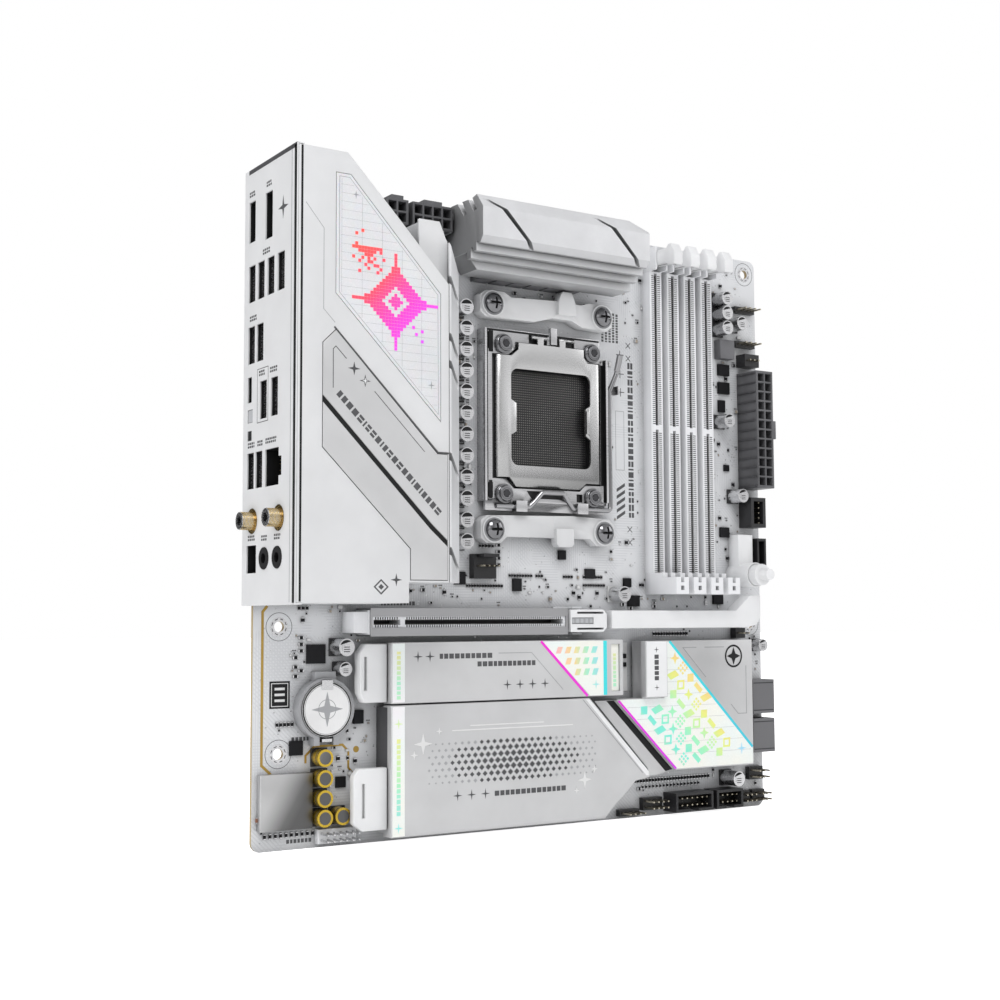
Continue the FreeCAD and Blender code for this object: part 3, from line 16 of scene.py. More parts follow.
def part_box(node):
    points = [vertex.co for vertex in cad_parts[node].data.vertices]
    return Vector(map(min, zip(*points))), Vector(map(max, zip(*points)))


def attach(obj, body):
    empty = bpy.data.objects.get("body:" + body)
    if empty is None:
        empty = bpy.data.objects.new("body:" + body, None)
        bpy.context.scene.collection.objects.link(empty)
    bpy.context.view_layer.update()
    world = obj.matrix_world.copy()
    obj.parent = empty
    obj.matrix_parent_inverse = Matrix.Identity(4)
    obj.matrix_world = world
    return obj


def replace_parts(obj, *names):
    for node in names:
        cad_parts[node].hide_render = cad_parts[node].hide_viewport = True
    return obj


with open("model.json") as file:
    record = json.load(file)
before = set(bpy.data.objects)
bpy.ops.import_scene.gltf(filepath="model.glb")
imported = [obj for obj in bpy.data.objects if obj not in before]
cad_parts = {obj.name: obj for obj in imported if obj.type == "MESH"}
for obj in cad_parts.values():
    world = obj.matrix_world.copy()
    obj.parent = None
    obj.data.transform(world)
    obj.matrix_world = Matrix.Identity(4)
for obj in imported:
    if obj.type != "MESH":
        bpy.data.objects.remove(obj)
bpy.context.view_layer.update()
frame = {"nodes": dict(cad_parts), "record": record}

ORIGIN_X, ORIGIN_Z = 10.16, 80.01    # mounting hole at the world origin
THICKNESS = 1.57                     # board
RND = random.Random(11)
BODY = {n: body for body, names in frame["record"]["behaviour"]["bodies"].items()
        for n in names}

# ---- places shared by several sections, mm
HOLES = [(33.02, 237.49), (165.10, 237.49), (237.49, 237.49), (ORIGIN_X, ORIGIN_Z),
         (237.49, 80.01), (10.16, 34.29), (165.10, 34.29), (237.49, 34.29)]
MEMORY_X = [182.2 + 9.4 * i for i in range(4)]
POWER_PITCH = 4.2
POWER_CONTACTS = [(x0 + POWER_PITCH * i, z0 + POWER_PITCH * j) if wide
                  else (x0 + POWER_PITCH * j, z0 + POWER_PITCH * i)
                  for x0, z0, count, wide in ((235.1, 142.5, 12, False),
                                              (61.0, 234.6, 4, True), (49.7, 234.6, 2, True))
                  for i in range(count) for j in range(2)]
VRM_CAPACITORS = [(85.4, 112.6 + 8.36 * i) for i in range(12)]
# rear port openings: z range of the column, lower edge of each opening
PORT_HEIGHT = 5.5
PORT_COLUMNS = (((197.1, 210.3), (0.9, 8.9, 17.3, 25.9)), ((174.6, 187.9), (0.9, 8.4)),
                ((153.6, 166.9), (11.6, 21.0)), ((129.3, 142.0), (0.9, 8.2)))
# pin headers: x0, x1, z0, z1, pins along x, pins along z
HEADER_7X2 = (187.8, 207.0, 2.6, 8.4, 7, 2)
HEADER_5X2 = (210.2, 223.8, 2.6, 8.4, 5, 2)
HEADER_2X5 = (233.4, 240.0, 123.4, 134.6, 2, 5)


def to_world(x, h, z):
    return ((x - ORIGIN_X) / 1000.0, -(h + THICKNESS) / 1000.0, (z - ORIGIN_Z) / 1000.0)


def top(node):
    """Height of a CAD node's highest point."""
    return -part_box(node)[0][1] * 1000.0 - THICKNESS


# ---------------------------------------------------------------- materials
MATERIALS = {}


class Shader:
    """Short calls for building a node tree."""

    def __init__(self, tree):
        self.tree = tree
        tree.nodes.clear()

    def node(self, kind, **settings):
        node = self.tree.nodes.new(kind)
        for name, value in settings.items():
            setattr(node, name, value)
        return node

    def feed(self, socket, value):
        """Link a socket, or set a number or a colour."""
        if isinstance(value, bpy.types.NodeSocket):
            self.tree.links.new(value, socket)
        elif isinstance(value, tuple):
            socket.default_value = (*value, 1.0)
        else:
            socket.default_value = value

    def math(self, operation, *values):
        node = self.node("ShaderNodeMath", operation=operation)
        for socket, value in zip(node.inputs, values):
            self.feed(socket, value)
        return node.outputs[0]

    def remap(self, value, to, of=(0.3, 0.7)):
        """Carry the range `of` onto the range `to`."""
        node = self.node("ShaderNodeMapRange")
        for socket, entry in zip(node.inputs, (value, *of, *to)):
            self.feed(socket, entry)
        return node.outputs[0]

    def ramp(self, factor, stops):
        node = self.node("ShaderNodeValToRGB")
        elements = node.color_ramp.elements
        while len(elements) < len(stops):
            elements.new(0.5)
        for element, (position, colour) in zip(elements, stops):
            element.position = position
            element.color = (*colour, 1.0)
        self.feed(node.inputs[0], factor)
        return node.outputs[0]

    def split(self, vector):
        node = self.node("ShaderNodeSeparateXYZ")
        self.feed(node.inputs[0], vector)
        return node.outputs


class Material(Shader):
    """A principled material, registered under its name without the prefix m_."""

    def __init__(self, key):
        material = MATERIALS[key] = bpy.data.materials.new("m_" + key)
        material.use_nodes = True
        super().__init__(material.node_tree)
        output = self.node("ShaderNodeOutputMaterial")
        self.bsdf = self.node("ShaderNodeBsdfPrincipled")
        self.feed(output.inputs[0], self.bsdf.outputs[0])
        self.place = self.node("ShaderNodeTexCoord").outputs["Object"]

    def put(self, name, value):
        self.feed(self.bsdf.inputs[name], value)

    def mapped(self, scale, rotation=(0, 0, 0)):
        node = self.node("ShaderNodeMapping")
        node.inputs["Scale"].default_value = scale
        node.inputs["Rotation"].default_value = rotation
        self.feed(node.inputs["Vector"], self.place)
        return node.outputs[0]

    def noise(self, scale, detail, vector=None):
        node = self.node("ShaderNodeTexNoise")
        for name, value in (("Scale", scale), ("Detail", detail), ("Roughness", 0.55),
                            ("Vector", vector or self.place)):
            self.feed(node.inputs[name], value)
        return node.outputs[0]

    def mix(self, factor, first, second, mode="MIX"):
        node = self.node("ShaderNodeMix", data_type="RGBA", blend_type=mode)
        for index, value in ((0, factor), (6, first), (7, second)):
            self.feed(node.inputs[index], value)
        return node.outputs[2]

    def shade(self, colour, amount):
        """Multiply a colour by a grey value."""
        grey = self.node("ShaderNodeCombineColor")
        for i in range(3):
            self.feed(grey.inputs[i], amount)
        return self.mix(1.0, colour, grey.outputs[0], "MULTIPLY")

    def painted_corner_shade(self, colour, low, distance):
        """Painted shade that darkens corners and crevices, from an occlusion node."""
        node = self.node("ShaderNodeAmbientOcclusion", samples=4)
        node.inputs["Distance"].default_value = distance
        return self.shade(colour, self.remap(node.outputs["AO"], to=(low, 1.0), of=(0.25, 0.95)))

    def bump(self, height, strength, distance=0.00003):
        node = self.node("ShaderNodeBump")
        for name, value in (("Strength", strength), ("Distance", distance), ("Height", height)):
            self.feed(node.inputs[name], value)
        self.put("Normal", node.outputs[0])

    def normal(self):
        return self.split(self.node("ShaderNodeNewGeometry").outputs["True Normal"])


def surface(key, colour, rough, metal, grain, bump, vary, streak=None, spec=0.5,
            rough_vary=0.06, ao=0.5, ao_dist=0.004, side=None):
    """Moulded, coated or machined finish: slow tone drift, and fine grain in tone and gloss.

    `streak` stretches the grain, `ao` is the tone of the painted shade in corners, and `side`
    holds the tones of painted shade on faces turned to -X and to -Z.
    """
    mat = Material(key)
    slow = mat.noise(60.0, detail=3.0)
    if streak:
        fine = mat.noise(1.0, detail=3.0, vector=mat.mapped(streak))
    else:
        fine = mat.noise(grain, detail=2.0)
    dark = tuple(max(0.0, c * (1 - vary * 1.6)) for c in colour)
    light = tuple(min(1.0, c * (1 + vary)) for c in colour)
    tone = mat.mix(mat.remap(slow, to=(0, 1)), dark, light)
    tone = mat.mix(mat.remap(fine, to=(0, 0.35)), tone, dark)
    # painted shade: faces turned to -X and to -Z are darkened by the tones in side
    if side:
        normal = mat.normal()
        tone = mat.shade(tone, mat.math(
            "MULTIPLY", mat.remap(normal[0], to=(side[0], 1.0), of=(-0.8, -0.3)),
            mat.remap(normal[2], to=(side[1], 1.0), of=(-0.9, -0.4))))
    # painted shade in the corners, from the occlusion node
    mat.put("Base Color", mat.painted_corner_shade(tone, ao, ao_dist))
    mat.put("Roughness", mat.remap(fine, to=(max(0.02, rough - rough_vary),
                                             min(1.0, rough + rough_vary))))
    mat.put("Metallic", metal)
    mat.put("Specular IOR Level", spec)
    mat.bump(fine, bump, distance=0.00004)


def board_material():
    mat = Material("board")
    face = mat.math("GREATER_THAN", mat.math("ABSOLUTE", mat.normal()[1], 0.0), 0.5)
    # copper tracks under the mask: bundles of parallel lines at 0, 45 and 90 degrees
    tracks = None
    for i, (turn, scale) in enumerate(((0.0, 900.0), (math.pi / 4, 820.0), (math.pi / 2, 900.0))):
        wave = mat.node("ShaderNodeTexWave", wave_type="BANDS", bands_direction="X")
        wave.inputs["Scale"].default_value = scale / 3.0
        mat.feed(wave.inputs["Vector"], mat.mapped((1, 1, 1), (0, turn, 0)))
        area = mat.noise(34.0 + 9 * i, detail=2.0, vector=mat.mapped((1, 0, 1), (0.0, 0.4 * i, 0.0)))
        bundle = mat.math("MULTIPLY", mat.remap(wave.outputs[1], to=(0, 1), of=(0.55, 0.75)),
                          mat.remap(area, to=(0, 1), of=(0.53, 0.56)))
        tracks = mat.math("MAXIMUM", tracks, bundle) if tracks else bundle
    slow = mat.noise(22.0, detail=2.0)
    white = mat.mix(mat.remap(slow, to=(0, 1)), (0.70, 0.71, 0.73), (0.77, 0.78, 0.795))
    white = mat.mix(mat.math("MULTIPLY", tracks, 0.42), white, (0.56, 0.57, 0.595))
    # layers of the laminate, seen on the edge
    layers = mat.node("ShaderNodeTexWave", wave_type="BANDS", bands_direction="Y")
    layers.inputs["Scale"].default_value = 900.0
    layers.inputs["Distortion"].default_value = 1.5
    mat.feed(layers.inputs["Vector"], mat.place)
    edge = mat.mix(layers.outputs[1], (0.36, 0.26, 0.12), (0.56, 0.44, 0.24))
    # painted shade darkens the board in corners and beside the parts
    mat.put("Base Color", mat.painted_corner_shade(mat.mix(face, edge, white), low=0.42, distance=0.006))
    mat.put("Roughness", mat.remap(mat.noise(2400.0, detail=2.0), to=(0.36, 0.46)))
    mat.put("Coat Weight", 0.15)
    grain = mat.math("MULTIPLY", mat.noise(3000.0, detail=1.0), 0.15)
    mat.bump(mat.math("ADD", tracks, grain), strength=0.25)


def gradient(key, stops, axis, start, end, rough=0.35, emit=0.0, metal=0.0, scatter=0.0,
             bump=0.05, rough_vary=0.05):
    """Colour running along the board direction `axis` (x, z) from `start` to `end`, in mm."""
    mat = Material(key)
    place = mat.split(mat.place)
    x = mat.math("ADD", mat.math("MULTIPLY", place[0], 1000.0), ORIGIN_X)
    z = mat.math("ADD", mat.math("MULTIPLY", place[2], 1000.0), ORIGIN_Z)
    t = mat.math("ADD", mat.math("MULTIPLY", x, axis[0]), mat.math("MULTIPLY", z, axis[1]))
    t = mat.math("DIVIDE", mat.math("SUBTRACT", t, start), end - start)
    drift = mat.math("SUBTRACT", mat.noise(120.0, detail=2.0), 0.5)
    colour = mat.ramp(mat.math("ADD", t, mat.math("MULTIPLY", drift, scatter)), stops)
    mat.put("Base Color", colour)
    mat.put("Roughness", mat.remap(mat.noise(3500.0, detail=2.0),
                                   to=(rough - rough_vary, rough + rough_vary)))
    mat.put("Metallic", metal)
    if emit:
        mat.put("Emission Color", colour)
        mat.put("Emission Strength", emit)
    mat.bump(mat.noise(4000.0, detail=1.0), bump)


def greys(*stops):
    return [(position, (value,) * 3) for position, value in stops]


def iridescent_film():
    """White printed film that turns faintly pink, green or blue with place and angle."""
    mat = Material("film")
    facing = mat.node("ShaderNodeLayerWeight")
    facing.inputs[0].default_value = 0.35
    t = mat.math("ADD", mat.math("MULTIPLY", facing.outputs[1], 0.9),
                 mat.math("MULTIPLY", mat.noise(45.0, detail=2.0), 0.9))
    mat.put("Base Color", mat.ramp(t, [
        (0.0, (0.92, 0.97, 0.955)), (0.3, (0.97, 0.935, 0.965)), (0.5, (0.91, 0.97, 0.945)),
        (0.7, (0.97, 0.97, 0.89)), (1.0, (0.92, 0.935, 0.98))]))
    mat.put("Roughness", mat.remap(mat.noise(2500.0, detail=2.0), to=(0.2, 0.3)))
    mat.put("Coat Weight", 0.5)
    mat.bump(mat.noise(3500.0, detail=1.0), strength=0.04)


def acrylic_window():
    """Milky light window with a soft glow from the lamps beneath."""
    mat = Material("window")
    colour = mat.mix(mat.remap(mat.noise(30.0, detail=2.0), to=(0, 1)),
                     (0.72, 0.72, 0.74), (0.79, 0.785, 0.805))
    mat.put("Base Color", colour)
    mat.put("Roughness", mat.remap(mat.noise(2600.0, detail=2.0), to=(0.22, 0.30)))
    mat.put("Subsurface Weight", 0.25)
    mat.put("Subsurface Scale", 0.002)
    mat.put("Emission Color", colour)
    mat.put("Emission Strength", 0.02)
    mat.put("Coat Weight", 0.4)
    mat.bump(mat.noise(1800.0, detail=1.0), strength=0.03)


# key, colour, roughness, metallic, grain scale, bump strength, tone drift, further settings
# ao and ao_dist set each finish's painted corner shade, side the painted shade on faces turned to -X and
# to -Z
for *finish, extra in (
        ("white_moulding", (0.86, 0.865, 0.875), 0.46, 0.0, 5200.0, 0.16, 0.03, {"ao": 0.6}),
        ("white_coat", (0.74, 0.745, 0.76), 0.40, 0.15, 2600.0, 0.22, 0.04, {}),
        ("cover_moulding", (0.735, 0.74, 0.75), 0.46, 0.0, 5200.0, 0.16, 0.03, {}),
        ("heatsink", (0.74, 0.745, 0.76), 0.40, 0.2, 3200.0, 0.2, 0.05,
         {"ao": 0.30, "ao_dist": 0.009}),
        ("cell_holder", (0.40, 0.405, 0.42), 0.44, 0.0, 5000.0, 0.14, 0.03, {}),
        ("connector", (0.12, 0.12, 0.127), 0.42, 0.0, 5200.0, 0.2, 0.2, {"spec": 0.4}),
        # black: print, and also painted shade on the socket frame strips and in the cooler screw
        # recesses
        ("black_print", (0.012, 0.012, 0.013), 0.5, 0.0, 3600.0, 0.05, 0.2, {"spec": 0.25}),
        ("gold_track", (0.46, 0.30, 0.07), 0.34, 0.7, 2400.0, 0.08, 0.1, {}),
        ("plate", (0.64, 0.642, 0.648), 0.42, 0.45, 6500.0, 0.25, 0.035, {}),
        ("plate_light", (0.90, 0.905, 0.915), 0.40, 0.1, 6500.0, 0.2, 0.03, {}),
        ("plate_dark", (0.42, 0.425, 0.44), 0.36, 0.5, 6500.0, 0.2, 0.03, {}),
        ("shield", (0.80, 0.805, 0.815), 0.42, 0.1, 3000.0, 0.14, 0.03, {}),
        ("grey_moulding", (0.50, 0.51, 0.53), 0.44, 0.0, 5000.0, 0.14, 0.03, {}),
        ("slot_moulding", (0.87, 0.878, 0.90), 0.42, 0.0, 5000.0, 0.12, 0.03, {"ao": 0.62}),
        ("port_moulding", (0.15, 0.15, 0.158), 0.42, 0.0, 5000.0, 0.14, 0.03, {}),
        ("pin", (0.58, 0.53, 0.42), 0.28, 1.0, 2400.0, 0.05, 0.06, {}),
        ("dark_moulding", (0.018, 0.018, 0.020), 0.42, 0.0, 5200.0, 0.2, 0.2, {}),
        # dark: the port tongues, and also painted shade on the lower drive plate's wall and the rear
        # panel's top
        ("dark_liner", (0.07, 0.07, 0.075), 0.5, 0.0, 5200.0, 0.2, 0.15, {}),
        ("stamped_steel", (0.60, 0.60, 0.61), 0.28, 1.0, None, 0.035, 0.02,
         {"streak": (50.0, 700.0, 9000.0), "rough_vary": 0.03}),
        ("rolled_steel", (0.42, 0.42, 0.43), 0.32, 1.0, None, 0.04, 0.03,
         {"streak": (50.0, 700.0, 7000.0), "rough_vary": 0.03}),
        ("plated_screw", (0.40, 0.40, 0.41), 0.12, 1.0, 900.0, 0.04, 0.06, {}),
        ("tinned", (0.72, 0.72, 0.73), 0.26, 1.0, 1800.0, 0.15, 0.06, {}),
        ("gold", (0.83, 0.60, 0.24), 0.26, 1.0, 2400.0, 0.08, 0.06, {}),
        ("gold_sleeve", (0.66, 0.45, 0.05), 0.30, 0.75, 1500.0, 0.08, 0.08, {}),
        ("drawn_can", (0.70, 0.70, 0.71), 0.24, 0.95, None, 0.06, 0.04,
         {"streak": (600.0, 7000.0, 600.0)}),
        ("package", (0.012, 0.012, 0.014), 0.6, 0.0, 4200.0, 0.25, 0.25, {"spec": 0.2}),
        ("ferrite", (0.17, 0.17, 0.18), 0.6, 0.0, 2800.0, 0.4, 0.15, {}),
        ("pad", (0.52, 0.53, 0.60), 0.75, 0.0, 2200.0, 0.4, 0.08, {}),
        ("cell", (0.92, 0.92, 0.92), 0.40, 1.0, None, 0.12, 0.06,
         {"streak": (5200.0, 300.0, 260.0)}),
        ("ink", (0.085, 0.085, 0.09), 0.5, 0.0, 3600.0, 0.1, 0.12, {}),
        ("ink_light", (0.36, 0.365, 0.38), 0.5, 0.0, 3600.0, 0.1, 0.08, {}),
        ("shadow_gap", (0.035, 0.035, 0.04), 0.6, 0.0, 3000.0, 0.1, 0.2, {}),
        ("lamp_board", (0.80, 0.80, 0.80), 0.45, 0.0, 2500.0, 0.1, 0.03, {}),
        ("gloss_inlay", (0.010, 0.010, 0.011), 0.32, 0.0, 2000.0, 0.03, 0.15, {"spec": 0.3}),
        ("contact_carrier", (0.024, 0.024, 0.026), 0.5, 0.0, 4200.0, 0.2, 0.2, {}),
        ("contact_spring", (0.30, 0.295, 0.28), 0.34, 1.0, 3000.0, 0.05, 0.08, {}),
        ("dark_chrome", (0.24, 0.24, 0.25), 0.10, 1.0, 900.0, 0.03, 0.08,
         {"ao": 0.35, "ao_dist": 0.0025}),
        # top heatsink: a copy of heatsink with heavier painted shade in corners and on faces turned to
        # -X and to -Z
        ("finned_heatsink", (0.74, 0.745, 0.76), 0.40, 0.2, 3200.0, 0.2, 0.05,
         {"ao": 0.14, "ao_dist": 0.014, "side": (0.42, 0.74)}),
        ("small_brown", (0.33, 0.15, 0.09), 0.5, 0.0, 3000.0, 0.2, 0.15, {}),
        ("ceramic", (0.42, 0.36, 0.29), 0.5, 0.0, 3000.0, 0.2, 0.12, {})):
    surface(*finish, **extra)
board_material()
iridescent_film()
acrylic_window()

gradient("shield_can", greys((0.0, 0.66), (0.31, 0.557), (0.46, 0.44), (0.62, 0.296),
                             (0.75, 0.18), (0.92, 0.132)),
         axis=(1.0, -0.6), start=-11.6, end=11.0, rough=0.34, metal=0.9)
# painted reflection and shade: the load plate's grey runs from dark at the lower right to light toward
# the upper left
gradient("load_plate", greys((0.0, 0.28), (0.10, 0.36), (0.35, 0.52), (0.66, 0.70), (1.0, 0.60)),
         axis=(-0.35, 1.0), start=88.0, end=146.0, rough=0.27, metal=1.0, bump=0.008,
         rough_vary=0.02)
# painted glow: the print lines and pastel films emit a little light, though they are no lamps
gradient("magenta_line", [(0.0, (0.85, 0.03, 0.62)), (0.5, (0.78, 0.03, 0.72)),
                          (1.0, (0.62, 0.05, 0.80))],
         axis=(0.7, -0.7), start=40.0, end=130.0, rough=0.3, emit=0.12)
gradient("cyan_line", [(0.0, (0.05, 0.70, 0.74)), (1.0, (0.06, 0.55, 0.70))],
         axis=(0.7, -0.7), start=60.0, end=150.0, rough=0.3, emit=0.1)
gradient("pastel", [(0.0, (0.88, 0.62, 0.16)), (0.25, (0.20, 0.80, 0.68)),
                    (0.5, (0.38, 0.86, 0.50)), (0.75, (0.80, 0.84, 0.22)),
                    (1.0, (0.93, 0.56, 0.28))],
         axis=(0.7, 0.7), start=140.0, end=182.0, emit=0.10, scatter=0.15)
gradient("pastel_strip", [(0.0, (0.30, 0.78, 0.82)), (0.25, (0.40, 0.84, 0.55)),
                          (0.5, (0.86, 0.86, 0.30)), (0.75, (0.42, 0.84, 0.62)),
                          (1.0, (0.90, 0.80, 0.30))],
         axis=(0.0, 1.0), start=3.0, end=74.0, emit=0.06, scatter=0.2)
gradient("pastel_upper", [(0.0, (0.95, 0.45, 0.62)), (0.4, (0.93, 0.70, 0.30)),
                          (0.7, (0.35, 0.82, 0.62)), (1.0, (0.36, 0.70, 0.90))],
         axis=(1.0, 0.0), start=122.0, end=148.0, emit=0.06, scatter=0.2)
gradient("pixel_glow", [(0.0, (1.0, 0.10, 0.08)), (0.35, (1.0, 0.08, 0.14)),
                        (0.62, (0.95, 0.06, 0.55)), (1.0, (0.50, 0.10, 0.95))],
         axis=(0.7, -0.7), start=-137.0, end=-88.0, rough=0.4, emit=0.30)

# material: the CAD nodes that wear it
NODE_MATERIAL = {node: key for key, nodes in {
    "board": "pcb", "shield": "io_shield", "black_print": "rear_port_housings",
    "tinned": "rear_antenna_jacks", "grey_moulding": "rear_button_flash",
    "dark_moulding": "rear_button_clear socket_housing m2_sockets board_headers fan_headers",
    "cover_moulding": "io_cover cooler_bracket_bottom", "window": "light_window",
    "lamp_board": "light_board", "gloss_inlay": "accent_strip",
    "plate": "accent_plate m2_heatsink_upper m2_heatsink_lower chipset_heatsink",
    "heatsink": "vrm_heatsink_left", "finned_heatsink": "vrm_heatsink_top",
    "package": "surface_chips", "pad": "thermal_pads m2_thermal_pads",
    "ferrite": "power_chokes", "drawn_can": "vrm_capacitors can_capacitors",
    "contact_carrier": "socket_contact_field", "load_plate": "load_plate",
    "stamped_steel": "socket_frame cooler_backplate", "rolled_steel": "pcie_shroud",
    "plated_screw": "load_lever heatsink_screws", "dark_chrome": "socket_screws cooler_screws",
    "white_moulding": "cooler_bracket_top pcie_latch release_bar release_button "
                      "release_housing m2_clip_upper m2_clip_lower "
                      "memory_latch_1 memory_latch_2 memory_latch_3 memory_latch_4",
    "slot_moulding": "pcie_slot memory_slot_1 memory_slot_2 memory_slot_3 memory_slot_4",
    "gold": "m2_standoffs", "cell_holder": "battery_holder", "cell": "coin_cell",
    "shield_can": "audio_shield", "gold_sleeve": "audio_capacitors",
    "connector": "power_connector_main power_connector_cpu", "port_moulding": "sata_ports",
}.items() for node in nodes.split()}
for node_name, cad in frame["nodes"].items():
    if not cad.material_slots:
        cad.data.materials.append(None)
    for material_slot in cad.material_slots:
        material_slot.material = MATERIALS[NODE_MATERIAL[node_name]]


# ---------------------------------------------------------------- outlines
def polar(x, z, r, angle):
    return (x + r * math.cos(angle), z + r * math.sin(angle))


def circle(x, z, r, segments):
    return [polar(x, z, r, 2 * math.pi * i / segments) for i in range(segments)]


def ccw(points):
    area = sum(a[0] * b[1] - b[0] * a[1] for a, b in zip(points, points[1:] + points[:1])) / 2
    return list(points) if area > 0 else list(reversed(points))


def mitre(arrive, leave, distance):
    """Offset of a corner that moves both its edges by one distance."""
    across = Vector((-arrive.y, arrive.x)) + Vector((-leave.y, leave.x))
    k = distance / max(0.35, across.length_squared / 2)
    return across.x * k, across.y * k


def inset(points, distance):
    moved = []
    for i, point in enumerate(points):
        before, here, after = Vector(points[i - 1]), Vector(point), Vector(points[(i + 1) % len(points)])
        dx, dz = mitre((here - before).normalized(), (after - here).normalized(), distance)
        moved.append((here.x + dx, here.y + dz))
    return moved


def inside(points, x, z):
    within = False
    for (x1, z1), (x2, z2) in zip(points, points[-1:] + points[:-1]):
        if (z1 > z) != (z2 > z) and x < (x2 - x1) * (z - z1) / (z2 - z1) + x1:
            within = not within
    return within


def turned(origin, along, across, points, size=1.0):
    """Points (along, across) laid out from an origin in a turned frame."""
    return [tuple(origin + along * (a * size) + across * (b * size)) for a, b in points]


def steps(start, stop, step):
    while start < stop:
        yield start
        start += step


def spread(first, last, count):
    return [first + (last - first) * i / (count - 1) for i in range(count)]


def grid(x0, x1, z0, z1, count_x, count_z):
    """Centres of equal cells."""
    return [(x0 + (x1 - x0) * (i + 0.5) / count_x, z0 + (z1 - z0) * (j + 0.5) / count_z)
            for i in range(count_x) for j in range(count_z)]


# ---------------------------------------------------------------- meshes
ALONG_X, ALONG_Z = (1, 0), (0, 1)


def add_object(name, mesh, sharp_degrees):
    mesh.polygons.foreach_set("use_smooth", [True] * len(mesh.polygons))
    mesh.set_sharp_from_angle(angle=math.radians(sharp_degrees))
    added = bpy.data.objects.new(name, mesh)
    bpy.context.scene.collection.objects.link(added)
    return added


